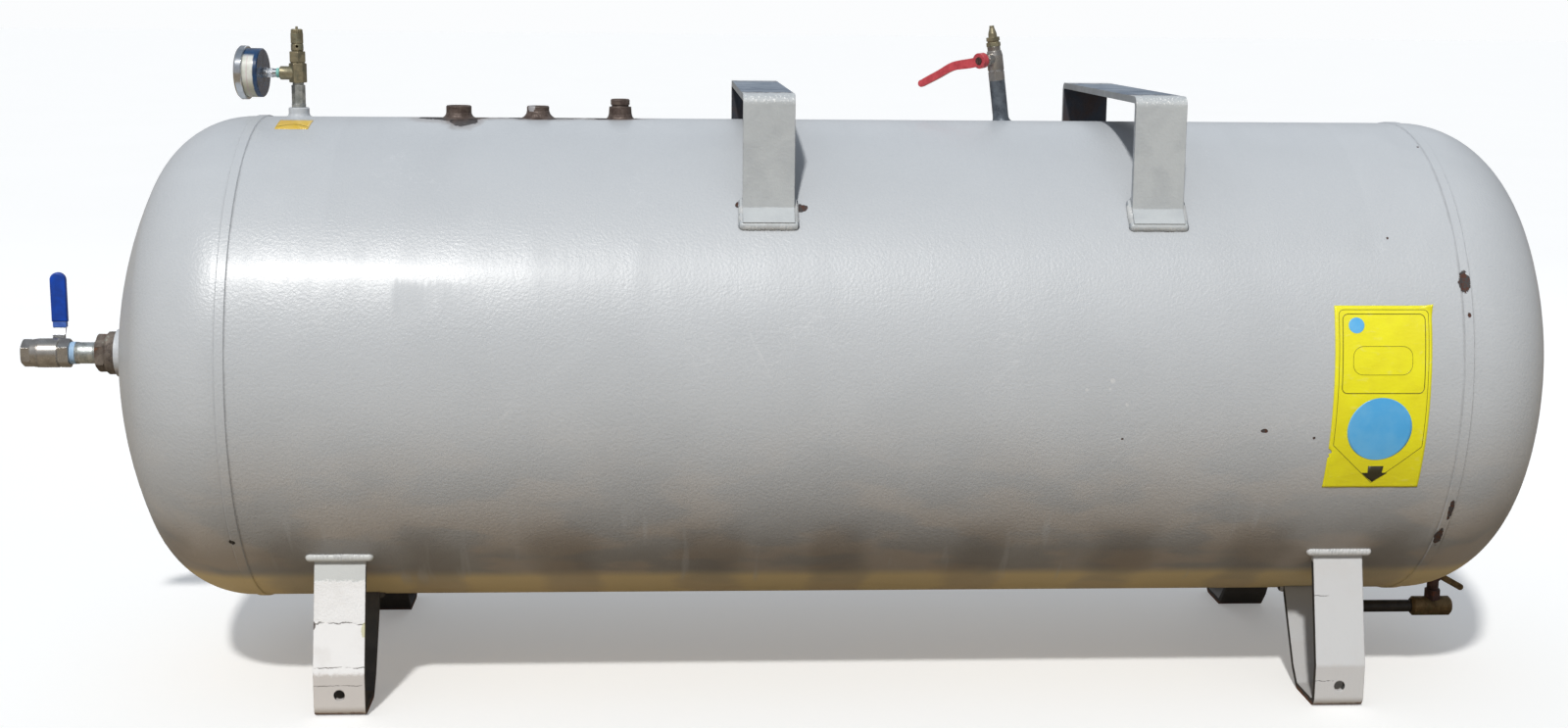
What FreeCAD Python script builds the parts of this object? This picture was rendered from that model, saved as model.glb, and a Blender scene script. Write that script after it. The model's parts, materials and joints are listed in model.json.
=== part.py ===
# Horizontal pressure tank on four strap feet, with its end valve, gauge group, top sockets and drain.
# Millimetres. X runs along the tank, Y to the back, Z up, and the ground is Z = 0.
import math
import os

import FreeCAD
import Part

V = FreeCAD.Vector
centre_point = V(0, 0, 0)
along_x = V(1, 0, 0)
along_y = V(0, 1, 0)
along_z = V(0, 0, 1)
os.makedirs("parts", exist_ok=True)

# driving dimensions of the vessel
shell_r = 300.0
wall = 5.0
straight_half = 725.0
crown_r = 522.0
knuckle_r = 115.0
ground_gap = 90.0
head_flange = 12.0
girth_width = 12.0
girth_proud = 1.5
girth_slope = 1.2

# flat bar of the brackets and feet
bar_width = 60.0
bar_thick = 8.0
bead_r = 5.2
bead_rise = 1.5
bracket_x = (-95.8, 358.8)
bracket_in = 75.7
bracket_rise = 41.0
bracket_bend = 8.0
flange_length = 28.0
flange_overlap = 2.0
foot_end_in = 127.0
foot_in = 48.0
foot_kink_up = 52.0
foot_root_angle = 43.5
foot_back_root_angle = 69.0
foot_bottom = 66.0
foot_back_kink = (20.0, 24.0)
foot_bend = 9.0
foot_hole_r = 6.5
foot_hole_up = 27.0
foot_bead_out = 4.6
foot_bead_up = 4.6
foot_back_bead_up = 5.2
root_sink = 7.0

# weld fillets and corners shared by the fittings
weld_sink = 12.0
small_sink = 8.0
corner = 1.2
past = 2.0

# end outlet and its ball valve, measured outwards from the left head's tip
outlet_rise = 3.0
pad_r = 41.0
pad_reach = 17.0
pad_crown = 3.0
socket_r = 27.0
socket_bore_r = 16.6
socket_reach = 30.5
socket_corner = 3.0
bushing_af = 42.0
bushing_head = 11.6
bushing_shank = 20.0
pipe_r = 13.45
pipe_wall = 2.65
pipe_show = 33.8
pipe_grip = 10.0
pipe_inset = 8.0
tape_length = 6.7
tape_thick = 0.6
valve_hex_af = 32.0
valve_hex_length = 13.4
valve_barrel_r = 18.3
valve_barrel_length = 33.7
valve_groove_at = 0.72
valve_groove = 0.6
valve_end_af = 30.5
valve_end_length = 11.5
valve_port_r = 12.1
valve_port_depth = 14.0
valve_way_r = 9.0
ball_r = 13.0
ball_gap = 0.3
ball_back = 11.7
gland_r = 10.0
gland_reach = 31.0
stem_r = 4.5
stem_gap = 0.08
stem_nut_af = 13.0
stem_nut_thick = 5.5
stem_end = 1.5
lever_gap = 5.5
lever_thick = 3.0
lever_width = 15.5
lever_eye_r = 9.5
lever_bend = 4.0
lever_crank_y = 7.0
lever_crank_z = (17.0, 27.0)
lever_length = 96.0
lever_hidden = 8.0
grip_width = 19.8
grip_thick = 9.0
grip_start = 33.0
grip_round = 2.2
collar_width = 16.8
collar_thick = 7.4
collar_start = 26.0

# gauge group
gauge_end_in = 57.0
boss_r = 12.6
boss_foot_r = 16.1
boss_rise = 11.5
boss_bore_r = 5.6
fillet_rise = 5.0
core_r = 3.2
screw_depth = 7.0
riser_collar_r = 8.6
riser_collar_h = 4.5
riser_neck_r = 6.8
riser_neck_h = 3.0
riser_af = 14.5
riser_length = 30.5
tee_af = 18.6
tee_length = 38.0
tee_low_share = 0.62
tee_top_share = 0.33
tee_branch_up = 11.5
tee_branch_r = 8.3
tee_branch_reach = 21.8
tee_turn = 6.0
gauge_stem_r = 5.2
gauge_stem_bore_r = 1.6
gauge_stem_length = 21.2
gauge_stem_af = 11.0
gauge_stem_hex = 7.0
gauge_neck_r = 6.4
gauge_neck = 5.0
gauge_tape = 4.2
gauge_tape_thick = 0.7
gauge_case_r = 30.0
gauge_case_depth = 24.0
gauge_case_wall = 1.5
glass_thick = 2.0
dial_thick = 1.0
dial_back = 5.0
bezel_wall = 3.0
bezel_depth = 10.0
bezel_front = 4.6
bezel_lip = 2.0
bezel_round = 2.2
needle_hub_r = 3.0
needle_hub_h = 2.2
needle_thick = 0.8
needle_half = (1.6, 0.4)
needle_reach = (-7.0, 21.0)
needle_turn = -135.0
relief_r = 7.6
relief_length = 22.0
relief_groove = 9.3
relief_vent_r = 1.7
relief_vent_up = 6.0
relief_vent_lean = 0.25
relief_cap_r = 7.2
relief_cap_h = 5.2
relief_flutes = 20
relief_flute_r = 0.55
relief_pin_r = 1.6
relief_pin_h = 3.2

# three open sockets on the crest: x, outer radius, foot radius, bore radius, height above the crest
sockets = (
    ("a", -471.5, 15.6, 20.3, 12.1, 15.2),
    ("b", -373.5, 13.8, 21.8, 9.3, 15.2),
    ("c", -271.4, 14.2, 17.3, 8.6, 14.8),
)
socket_fillet_share = 0.45
neck_r = 11.8
neck_h = 9.6
neck_groove = 1.2
neck_groove_width = 1.4

# leaning riser with its small valve
riser_x = 214.7
riser_y = 40.0
riser_lean = 7.3
riser_r = 10.0
riser_bore_r = 7.2
riser_height = 52.5
riser_weld = 5.0
riser_weld_rise = 7.0
riser_spigot_r = 8.4
riser_spigot = 8.0
small_hex_af = 18.6
small_hex_h = 11.5
small_barrel_r = 10.3
small_barrel_h = 26.0
small_barrel_shoulder = 6.0
small_neck_r = 8.2
small_neck_h = 5.6
small_way_r = 4.5
nozzle_af = 15.8
nozzle_hex_h = 11.8
nozzle_r = 5.6
nozzle_tip_r = 2.9
nozzle_h = 14.6
nozzle_bore_r = 1.7
nozzle_shank_r = 5.4
nozzle_shank = 7.0
stem_turn = 49.0
stem_up = 16.5
small_boss_r = 7.4
small_boss_reach = 17.0
small_gland_af = 12.0
small_gland = 4.0
small_stem_r = 3.4
small_stem_start = 5.5
red_gap = 2.0
red_eye_r = 9.8
red_eye_thick = 8.5
red_screw_r = 4.6
red_screw = 1.2
red_slot = 0.6
red_swing = 34.0
red_arm_thick = 8.0
red_path = ((0.0, 0.0), (22.0, -2.4), (40.0, -4.0), (58.0, -11.0), (74.0, -17.0), (86.0, -21.6))
red_half = (6.2, 5.9, 5.5, 5.1, 5.0, 4.6)

# drain under the right head
drain_out = 79.0
drain_r = 7.6
drain_wall = 2.2
drain_nut_af = 19.0
drain_nut_down = 47.4
drain_body_down = 70.4
drain_body_r = 12.8
drain_body_reach = (-29.0, 25.0)
drain_body_corner = 3.0
drain_grip = 6.0
drain_nut_lap = 3.5
drain_tail_r = 8.0
drain_tail_bore_r = 5.6
drain_tail_length = 120.0
drain_shank_r = 7.0
drain_shank = 12.0
cock_down = 25.9
cock_r = 9.4
cock_reach = 17.0
cock_stem_r = 3.6
cock_stem_start = 6.0
wing_gap = 3.5
wing_thick = 4.0
wing_length = 57.0
wing_drop = 29.0
wing_half = 4.2
wing_eye_r = 7.0

# sizes that follow
axis_height = shell_r + ground_gap
girth_x = straight_half - head_flange
head_depth = crown_r - math.sqrt((crown_r - knuckle_r) ** 2 - (shell_r - knuckle_r) ** 2)
tip_x = straight_half + head_depth
pipe_bore_r = pipe_r - pipe_wall
hex_start = socket_reach + bushing_head + pipe_show
valve_end = hex_start + valve_hex_length + valve_barrel_length + valve_end_length
ball_at = hex_start + valve_hex_length + ball_back
middle_x = valve_end / 2
lever_y = gland_reach + lever_gap
grip_y = lever_y + lever_thick / 2 + lever_crank_y
bar_top = shell_r + bracket_rise
bracket_half_depth = shell_r - bracket_in
bracket_root_angle = math.degrees(math.acos((bracket_half_depth - bar_thick) / (shell_r + bar_thick / 2)))
flange_end_angle = bracket_root_angle - math.degrees(flange_length / shell_r)
foot_x = straight_half - foot_end_in
foot_front_y = shell_r - foot_in
gauge_x = gauge_end_in - straight_half
tee_z = boss_rise + riser_length
gauge_back = tee_branch_reach + gauge_stem_length
gauge_front = gauge_back + gauge_case_depth
bezel_r = gauge_case_r + bezel_wall
small_barrel_z = riser_height + small_hex_h
stem_height = small_barrel_z + stem_up
red_eye_in = small_boss_reach + small_gland + red_gap
red_face = red_eye_in + red_eye_thick
nozzle_z = small_barrel_z + small_barrel_h + small_neck_h
drain_x = straight_half + drain_out
drain_top = knuckle_r - shell_r - math.sqrt(knuckle_r ** 2 - drain_out ** 2)
cock_z = drain_top - cock_down
drain_nut_z = drain_top - drain_nut_down
drain_body_z = drain_top - drain_body_down
drain_body_x = drain_x + drain_body_reach[0]
drain_tail_x = drain_body_x - drain_tail_length
wing_y = cock_reach + wing_gap


def cyl(r, h, at=centre_point, along=along_z):
    return Part.makeCylinder(r, h, at, along)


def tube(r, bore, h, at=centre_point, along=along_z):
    # the bore is cut a little past both ends
    return cyl(r, h, at, along).cut(cyl(bore, h + 2 * past, at - along * past, along))


def box(x0, x1, y0, y1, z0, z1):
    return Part.makeBox(x1 - x0, y1 - y0, z1 - z0, V(x0, y0, z0))


def hexagon(af, h, z=0.0, turn=0.0):
    # six-sided bar along Z, af across its flats, with its outer corners turned off to a cone
    corner_r = af / math.sqrt(3)
    points = []
    for k in range(7):
        a = math.radians(60 * k + turn)
        points.append(V(corner_r * math.cos(a), corner_r * math.sin(a), z))
    bar = Part.Face(Part.makePolygon(points)).extrude(V(0, 0, h))
    lip = (corner_r - af / 2) * 0.6
    cone = lip * 0.7
    turned = lathe([(0, z), (corner_r - lip, z), (corner_r, z + cone), (corner_r, z + h - cone),
                    (corner_r - lip, z + h), (0, z + h)])
    return bar.common(turned)


def lathe(profile):
    # closed profile of (radius, z) pairs turned about Z
    points = [V(r, 0, z) for r, z in profile]
    points.append(points[0])
    return Part.Face(Part.makePolygon(points)).revolve(centre_point, along_z, 360)


def flare(foot_r, top_r, z0, z1, steps=8):
    # hollow-sided weld fillet from foot_r at z0 up to top_r at z1, as profile points
    points = []
    for k in range(steps + 1):
        a = math.radians(90.0 * k / steps)
        points.append((foot_r - (foot_r - top_r) * math.sin(a), z1 - (z1 - z0) * math.cos(a)))
    return points


def head_profile(offset):
    # quarter outline of a dished end, from its tip on the axis to the end of its straight flange
    crown = crown_r - offset
    knuckle = knuckle_r - offset
    centre = straight_half + head_depth - crown_r
    reach = crown_r - knuckle_r
    rise = shell_r - knuckle_r
    split = math.asin(rise / reach)
    tip = V(centre + crown, 0, 0)
    mid = V(centre + crown * math.cos(split / 2), 0, crown * math.sin(split / 2))
    join = V(centre + crown * math.cos(split), 0, crown * math.sin(split))
    turn = (split + math.pi / 2) / 2
    bend = V(straight_half + knuckle * math.cos(turn), 0, rise + knuckle * math.sin(turn))
    edge = V(straight_half, 0, shell_r - offset)
    start = V(girth_x, 0, shell_r - offset)
    crown_arc = Part.Arc(tip, mid, join).toShape()
    knuckle_arc = Part.Arc(join, bend, edge).toShape()
    return [crown_arc, knuckle_arc, Part.makeLine(edge, start)], tip, start


def head():
    outer, outer_tip, outer_start = head_profile(0.0)
    inner, inner_tip, inner_start = head_profile(wall)
    outline = Part.Wire(outer + [Part.makeLine(outer_start, inner_start)] + inner[::-1]
                        + [Part.makeLine(inner_tip, outer_tip)])
    return Part.Face(outline).revolve(centre_point, along_x, 360)


def head_solid():
    # the space a dished end fills, used to trim what is welded on it
    outer, tip, start = head_profile(0.0)
    middle = V(girth_x, 0, 0)
    outline = Part.Wire(outer + [Part.makeLine(start, middle), Part.makeLine(middle, tip)])
    return Part.Face(outline).revolve(centre_point, along_x, 360)


def mirrored(shape, normal):
    return shape.mirror(centre_point, normal)


def shell_solid():
    return cyl(shell_r, 2 * straight_half, V(-straight_half, 0, 0), along_x)


def strap(path, thick, bend, width, x):
    # flat bar along a (y, z) path, every corner bent to the same centre-line radius
    lines = {1: [], -1: []}
    last = {1: None, -1: None}
    ends = {1: [], -1: []}
    count = len(path)
    for i in range(count):
        here = V(x, path[i][0], path[i][1])
        if i in (0, count - 1):
            other = path[1] if i == 0 else path[-2]
            step = (V(x, other[0], other[1]) - here) * (1 if i == 0 else -1)
            step.normalize()
            normal = V(0, -step.z, step.y)
            for side in (1, -1):
                point = here + normal * (side * thick / 2)
                if last[side] is not None:
                    lines[side].append(Part.makeLine(last[side], point))
                last[side] = point
                ends[side].append(point)
            continue
        into = here - V(x, path[i - 1][0], path[i - 1][1])
        out = V(x, path[i + 1][0], path[i + 1][1]) - here
        into.normalize()
        out.normalize()
        turn = math.atan2(into.y * out.z - into.z * out.y, into.y * out.y + into.z * out.z)
        hand = 1 if turn > 0 else -1
        back = bend * math.tan(abs(turn) / 2)
        centre = here - into * back + V(0, -into.z, into.y) * (hand * bend)
        for side in (1, -1):
            r = bend - hand * side * thick / 2
            first = centre - V(0, -into.z, into.y) * (hand * r)
            final = centre - V(0, -out.z, out.y) * (hand * r)
            middle = (first + final) * 0.5 - centre
            middle.normalize()
            lines[side].append(Part.makeLine(last[side], first))
            lines[side].append(Part.Arc(first, centre + middle * r, final).toShape())
            last[side] = final
    cap_a = Part.makeLine(ends[-1][0], ends[1][0])
    cap_b = Part.makeLine(ends[1][1], ends[-1][1])
    outline = Part.Wire(Part.__sortEdges__(lines[1] + lines[-1] + [cap_a, cap_b]))
    return Part.Face(outline).extrude(V(width, 0, 0))


def bead(a, b, r):
    # weld bead with round ends between two points
    along = b - a
    length = along.Length
    along.normalize()
    return cyl(r, length, a, along).fuse([Part.makeSphere(r, a), Part.makeSphere(r, b)])


def on_shell(angle, r):
    # front point (y, z) at an angle above the horizontal through the axis
    a = math.radians(angle)
    return -r * math.cos(a), r * math.sin(a)


def shell():
    body = tube(shell_r, shell_r - wall, 2 * girth_x, V(-girth_x, 0, 0), along_x)
    low = math.sqrt((shell_r - wall) ** 2 - (riser_y + riser_bore_r) ** 2) - past
    holes = [(gauge_x, 0, boss_bore_r), (riser_x, riser_y, riser_bore_r)]
    for name, x, r, foot_r, bore, rise in sockets:
        holes.append((x, 0, bore))
    return body.cut([cyl(r, shell_r - low + past, V(x, y, low)) for x, y, r in holes])


def right_head():
    return head().cut(cyl(drain_r - drain_wall, shell_r, V(drain_x, 0, -shell_r)))


def left_head():
    way = cyl(pipe_bore_r, head_depth, V(-tip_x - past, 0, outlet_rise), along_x)
    return mirrored(head(), along_x).cut(way)


def girth_weld(x):
    # low crowned weld band over the joint of shell and head
    half = girth_width / 2
    ring = lathe([(shell_r, -half), (shell_r + girth_proud, -half + girth_slope),
                  (shell_r + girth_proud, half - girth_slope), (shell_r, half)])
    ring.rotate(centre_point, along_y, 90)
    ring.translate(V(x, 0, 0))
    return ring


def bracket(x):
    # arch of flat bar with a rolled flange and weld beads at each side, trimmed by the shell
    half = bracket_half_depth - bar_thick / 2
    top = bar_top - bar_thick / 2
    low = math.sqrt(shell_r ** 2 - bracket_half_depth ** 2) - 2 * bar_thick
    x0 = x - bar_width / 2
    x1 = x + bar_width / 2
    pieces = []
    for side in (1, -1):
        pieces.append(flange(x0, side))
        corners = []
        for angle in (flange_end_angle, bracket_root_angle + flange_overlap / 2):
            y, z = on_shell(angle, shell_r + bead_rise)
            corners.append((side * y, z))
        for end_x in (x0, x1):
            pieces.append(bead(V(end_x, *corners[0]), V(end_x, *corners[1]), bead_r * 0.9))
        pieces.append(bead(V(x0, *corners[0]), V(x1, *corners[0]), bead_r))
    path = [(-half, low), (-half, top), (half, top), (half, low)]
    arch = strap(path, bar_thick, bracket_bend, bar_width, x0)
    return arch.fuse(pieces).cut(shell_solid()).removeSplitter()


def flange(x0, side):
    # the bar's end rolled down to lie on the shell, cut out of a ring by a wedge from the axis
    ring = tube(shell_r + bar_thick, shell_r - wall, bar_width, V(x0, 0, 0), along_x)
    upper = bracket_root_angle + flange_overlap
    wedge = []
    for angle, r in ((flange_end_angle, 0.7), (flange_end_angle, 1.3), (upper, 1.3), (upper, 0.7)):
        y, z = on_shell(angle, shell_r * r)
        wedge.append(V(x0 - past, side * y, z))
    wedge.append(wedge[0])
    return ring.common(Part.Face(Part.makePolygon(wedge)).extrude(V(bar_width + 2 * past, 0, 0)))


def foot(x, side):
    # strap bent down from the shell, along the ground and up to the shell again; side -1 is the front foot
    root_y, root_z = on_shell(-foot_root_angle, shell_r - root_sink)
    back_y, back_z = on_shell(-foot_back_root_angle, shell_r - root_sink)
    face = foot_front_y - bar_thick / 2
    floor = -axis_height + bar_thick / 2
    inner = foot_bottom - face
    path = [(root_y, root_z), (-face, -axis_height + foot_kink_up), (-face, floor), (inner, floor),
            (inner + foot_back_kink[0], -axis_height + foot_back_kink[1]), (back_y, back_z)]
    x0 = x - bar_width / 2
    x1 = x + bar_width / 2
    piece = strap(path, bar_thick, foot_bend, bar_width, x0)
    y, z = on_shell(-foot_root_angle + math.degrees(foot_bead_up / shell_r), shell_r + bead_rise / 3)
    front_bead = bead(V(x0 - foot_bead_out, y, z), V(x1 + foot_bead_out, y, z), bead_r)
    y, z = on_shell(-foot_back_root_angle - math.degrees(foot_back_bead_up / shell_r), shell_r + bead_rise / 3)
    back_bead = bead(V(x0, y, z), V(x1, y, z), bead_r * 1.08)
    hole = cyl(foot_hole_r, 2 * bar_thick, V(x, -foot_front_y - past, -axis_height + foot_hole_up), along_y)
    piece = piece.fuse([front_bead, back_bead]).cut(shell_solid()).removeSplitter().cut(hole)
    return piece if side < 0 else mirrored(piece, along_y)


def outwards(shape):
    # turns a piece built up along Z to point left from the head's tip
    shape.rotate(centre_point, along_y, -90)
    shape.translate(V(-tip_x, 0, outlet_rise))
    return shape


def outlet_pad():
    # smooth weld mound around the socket
    body = lathe([(socket_r, -weld_sink), (pad_r, -weld_sink)]
                 + flare(pad_r, socket_r + pad_crown, -1.0, pad_reach) + [(socket_r, pad_reach)])
    return outwards(body).cut(mirrored(head_solid(), along_x))


def outlet_socket():
    face_r = socket_r - socket_corner
    body = lathe([(socket_bore_r, -weld_sink), (socket_r, -weld_sink),
                  (socket_r, socket_reach - socket_corner), (face_r, socket_reach),
                  (socket_bore_r, socket_reach)])
    return outwards(body).cut(mirrored(head_solid(), along_x))


def outlet_bushing():
    body = cyl(socket_bore_r, bushing_shank, V(0, 0, socket_reach - bushing_shank))
    body = body.fuse(hexagon(bushing_af, bushing_head, socket_reach))
    return outwards(body.cut(cyl(pipe_r, 2 * socket_reach + bushing_head, V(0, 0, -socket_reach))))


def outlet_nipple():
    start = socket_reach - pipe_inset
    return outwards(tube(pipe_r, pipe_bore_r, hex_start + pipe_grip - start, V(0, 0, start)))


def thread_tape():
    return outwards(tube(pipe_r + tape_thick, pipe_r, tape_length, V(0, 0, hex_start - tape_length)))


def valve_body():
    # hexagon on the pipe, turned barrel with one groove, hexagon end, and the stem's gland to the back
    barrel_z = hex_start + valve_hex_length
    end_z = barrel_z + valve_barrel_length
    groove = barrel_z + valve_barrel_length * valve_groove_at
    r = valve_barrel_r
    barrel = lathe([(0, barrel_z), (r - corner, barrel_z), (r, barrel_z + corner), (r, groove),
                    (r - valve_groove, groove + valve_groove), (r - valve_groove, groove + 2 * valve_groove),
                    (r, groove + 3 * valve_groove), (r - corner, end_z), (0, end_z)])
    gland = cyl(gland_r, gland_reach, V(0, 0, ball_at), along_y)
    near_hex = hexagon(valve_hex_af, valve_hex_length, hex_start)
    body = near_hex.fuse([barrel, gland, hexagon(valve_end_af, valve_end_length, end_z)])
    ways = [cyl(pipe_r, pipe_grip, V(0, 0, hex_start)),
            cyl(valve_way_r, valve_end - hex_start, V(0, 0, hex_start)),
            cyl(valve_port_r, valve_port_depth + past, V(0, 0, valve_end - valve_port_depth)),
            Part.makeSphere(ball_r + ball_gap, V(0, 0, ball_at)),
            cyl(stem_r + stem_gap, gland_reach + past, V(0, 0, ball_at), along_y)]
    return outwards(body.cut(ways))


def valve_stem():
    # the shut ball with its way across the pipe, the stem, and the nut outside the lever
    ball = Part.makeSphere(ball_r, centre_point)
    shaft = cyl(stem_r, lever_y + lever_thick + stem_nut_thick + stem_end, centre_point, along_y)
    way = cyl(valve_way_r, 4 * ball_r, V(-2 * ball_r, 0, 0), along_x)
    nut = hexagon(stem_nut_af, stem_nut_thick)
    nut.rotate(centre_point, along_x, -90)
    nut.translate(V(0, lever_y + lever_thick, 0))
    piece = shaft.fuse(ball).cut(way).fuse(nut)
    piece.translate(V(0, 0, ball_at))
    return outwards(piece)


def lever_at(shape):
    shape.translate(V(-tip_x - ball_at, 0, outlet_rise))
    return shape


def lever_plate():
    mid = lever_y + lever_thick / 2
    path = [(mid, 0), (mid, lever_crank_z[0]), (grip_y, lever_crank_z[1]),
            (grip_y, lever_length - lever_hidden)]
    return strap(path, lever_thick, lever_bend, lever_width, -lever_width / 2)


def valve_lever():
    eye = cyl(lever_eye_r, lever_thick, V(0, lever_y, 0), along_y)
    bore = cyl(stem_r, 2 * lever_y, centre_point, along_y)
    return lever_at(lever_plate().fuse(eye).removeSplitter().cut(bore))


def lever_grip():
    # dipped sleeve over the lever, round at its free end and along its rims
    half_width = grip_width / 2
    half_thick = grip_thick / 2
    block = box(-half_width, half_width, grip_y - half_thick, grip_y + half_thick, grip_start, lever_length)
    across = [e for e in block.Edges if abs(e.Vertexes[0].Y - e.Vertexes[1].Y) > half_thick]
    body = block.makeFillet(half_width - 0.4, [e for e in across if e.Vertexes[0].Z > grip_start + 1])
    rim = [e for e in body.Edges if e.Length > half_thick and abs(e.tangentAt(e.FirstParameter).y) < 0.1]
    return lever_at(body.makeFillet(grip_round, rim).cut(lever_plate()))


def grip_collar():
    half_width = collar_width / 2
    half_thick = collar_thick / 2
    block = box(-half_width, half_width, grip_y - half_thick, grip_y + half_thick, collar_start, grip_start)
    return lever_at(block.cut(lever_plate()))


def gauge_at(shape):
    shape.translate(V(gauge_x, 0, shell_r))
    return shape


def gauge_boss():
    body = lathe([(boss_bore_r, -small_sink), (boss_foot_r, -small_sink)]
                 + flare(boss_foot_r, boss_r, -3, fillet_rise)
                 + [(boss_r, boss_rise - corner), (boss_r - corner, boss_rise), (boss_bore_r, boss_rise)])
    return gauge_at(body).cut(shell_solid())


def gauge_riser():
    # threaded shank, collar, hexagon bar, round neck and the shank that screws into the tee
    hex_z = boss_rise + riser_collar_h
    neck_z = tee_z - riser_neck_h
    body = cyl(boss_bore_r, screw_depth + past, V(0, 0, boss_rise - screw_depth - past)).fuse([
        cyl(riser_collar_r, riser_collar_h, V(0, 0, boss_rise)), hexagon(riser_af, neck_z - hex_z, hex_z, 12),
        cyl(riser_neck_r, riser_neck_h, V(0, 0, neck_z)), cyl(boss_bore_r, screw_depth, V(0, 0, tee_z))])
    return gauge_at(body.cut(cyl(core_r, 2 * tee_z, V(0, 0, -tee_z / 2))))


def tee_turned(shape):
    shape.rotate(centre_point, along_z, -tee_turn)
    return gauge_at(shape)


def side_on(shape):
    # lays a piece built up along Z onto the tee's branch, pointing left
    shape.rotate(centre_point, along_y, -90)
    shape.translate(V(0, 0, tee_z + tee_branch_up))
    return tee_turned(shape)


def gauge_tee():
    # round waist between two hexagons, with a round branch to the left
    low = hexagon(tee_af, tee_length * tee_low_share, tee_z, 18)
    waist = cyl(tee_af / 2 - 0.6, tee_length, V(0, 0, tee_z))
    top = hexagon(tee_af, tee_length * tee_top_share, tee_z + tee_length * (1 - tee_top_share) - 0.4, 48)
    branch = lathe([(0, 0), (tee_branch_r + corner, 0), (tee_branch_r, tee_branch_reach / 2),
                    (tee_branch_r, tee_branch_reach - 0.8), (tee_branch_r - 0.8, tee_branch_reach),
                    (0, tee_branch_reach)])
    branch.rotate(centre_point, along_y, -90)
    branch.translate(V(0, 0, tee_z + tee_branch_up))
    middle = V(0, 0, tee_z + tee_branch_up)
    mouth = middle - V(tee_branch_reach, 0, 0)
    ways = [cyl(boss_bore_r, screw_depth, V(0, 0, tee_z)),
            cyl(boss_bore_r, screw_depth, V(0, 0, tee_z + tee_length - screw_depth)),
            cyl(core_r, tee_length + 2 * past, V(0, 0, tee_z - past)),
            cyl(gauge_stem_r, small_sink + past, mouth - along_x * past, along_x),
            cyl(core_r, tee_branch_reach, mouth, along_x)]
    return tee_turned(waist.fuse([low, top, branch]).cut(ways))


def gauge_tape_ring():
    return side_on(tube(gauge_stem_r + gauge_tape_thick, gauge_stem_r, gauge_tape, V(0, 0, tee_branch_reach)))


def gauge_stem():
    start = tee_branch_reach - small_sink
    neck_z = gauge_back - gauge_neck
    grip = hexagon(gauge_stem_af, gauge_stem_hex, neck_z - gauge_stem_hex, 30)
    neck = cyl(gauge_neck_r, gauge_neck, V(0, 0, neck_z))
    body = cyl(gauge_stem_r, neck_z - start, V(0, 0, start)).fuse([grip, neck])
    return side_on(body.cut(cyl(gauge_stem_bore_r, gauge_stem_length, V(0, 0, start - past))))


def gauge_case():
    inner_r = gauge_case_r - gauge_case_wall
    inner_z = gauge_back + gauge_case_wall
    body = lathe([(0, gauge_back), (gauge_case_r - corner, gauge_back), (gauge_case_r, gauge_back + corner),
                  (gauge_case_r, gauge_front), (inner_r, gauge_front), (inner_r, inner_z), (0, inner_z)])
    return side_on(body)


def gauge_bezel():
    # rim over the case's mouth, with a lip that holds the glass
    lip = gauge_front + bezel_front
    back = lip - bezel_depth
    seat = gauge_front + glass_thick
    mouth_r = gauge_case_r - bezel_lip
    body = lathe([(gauge_case_r, back), (bezel_r - 0.8, back), (bezel_r, back + 0.8),
                  (bezel_r, lip - bezel_round), (bezel_r - bezel_round, lip), (mouth_r, lip), (mouth_r, seat),
                  (gauge_case_r, seat)])
    return side_on(body)


def gauge_glass():
    return side_on(cyl(gauge_case_r, glass_thick, V(0, 0, gauge_front)))


def gauge_dial():
    return side_on(cyl(gauge_case_r - gauge_case_wall, dial_thick, V(0, 0, gauge_front - dial_back)))


def gauge_needle():
    # tapered blade on a hub that stands on the dial
    face = gauge_front - dial_back + dial_thick
    hub = cyl(needle_hub_r, needle_hub_h, V(0, 0, face))
    outline = []
    for half, reach in ((needle_half[0], needle_reach[0]), (needle_half[1], needle_reach[1])):
        outline += [V(-half, reach, 0), V(half, reach, 0)]
    outline = [outline[0], outline[1], outline[3], outline[2], outline[0]]
    blade = Part.Face(Part.makePolygon(outline)).extrude(V(0, 0, needle_thick))
    blade.rotate(centre_point, along_z, needle_turn)
    blade.translate(V(0, 0, face + needle_hub_h / 2))
    return side_on(hub.fuse(blade))


def relief_body():
    # turned body with one groove, and a vent through it from front to back
    z = tee_z + tee_length
    top = z + relief_length
    groove = z + relief_groove
    shank_z = z - screw_depth + 1
    body = lathe([(0, shank_z), (boss_bore_r, shank_z), (boss_bore_r, z), (relief_r - corner, z),
                  (relief_r, z + corner), (relief_r, groove - 0.8), (relief_r - 0.8, groove),
                  (relief_r, groove + 0.8), (relief_r, top), (0, top)])
    vents = []
    for side in (1, -1):
        out = V(side * relief_vent_lean, -side, 0)
        vents.append(cyl(relief_vent_r, 2 * relief_r, V(0, 0, z + relief_vent_up), out))
    return tee_turned(body.cut(vents))


def relief_cap():
    # fluted cap with a short pin on top
    z = tee_z + tee_length + relief_length
    top = z + relief_cap_h
    pin_top = top + relief_pin_h
    grip = lathe([(0, z), (relief_cap_r, z), (relief_cap_r, top - corner), (relief_cap_r - corner, top),
                  (relief_pin_r, top), (relief_pin_r, pin_top - 0.6), (relief_pin_r - 0.6, pin_top),
                  (0, pin_top)])
    cuts = []
    for k in range(relief_flutes):
        a = 2 * math.pi * k / relief_flutes
        foot_point = V(relief_cap_r * math.cos(a), relief_cap_r * math.sin(a), z - past)
        cuts.append(cyl(relief_flute_r, relief_cap_h + 2 * past, foot_point))
    return tee_turned(grip.cut(cuts))


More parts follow.
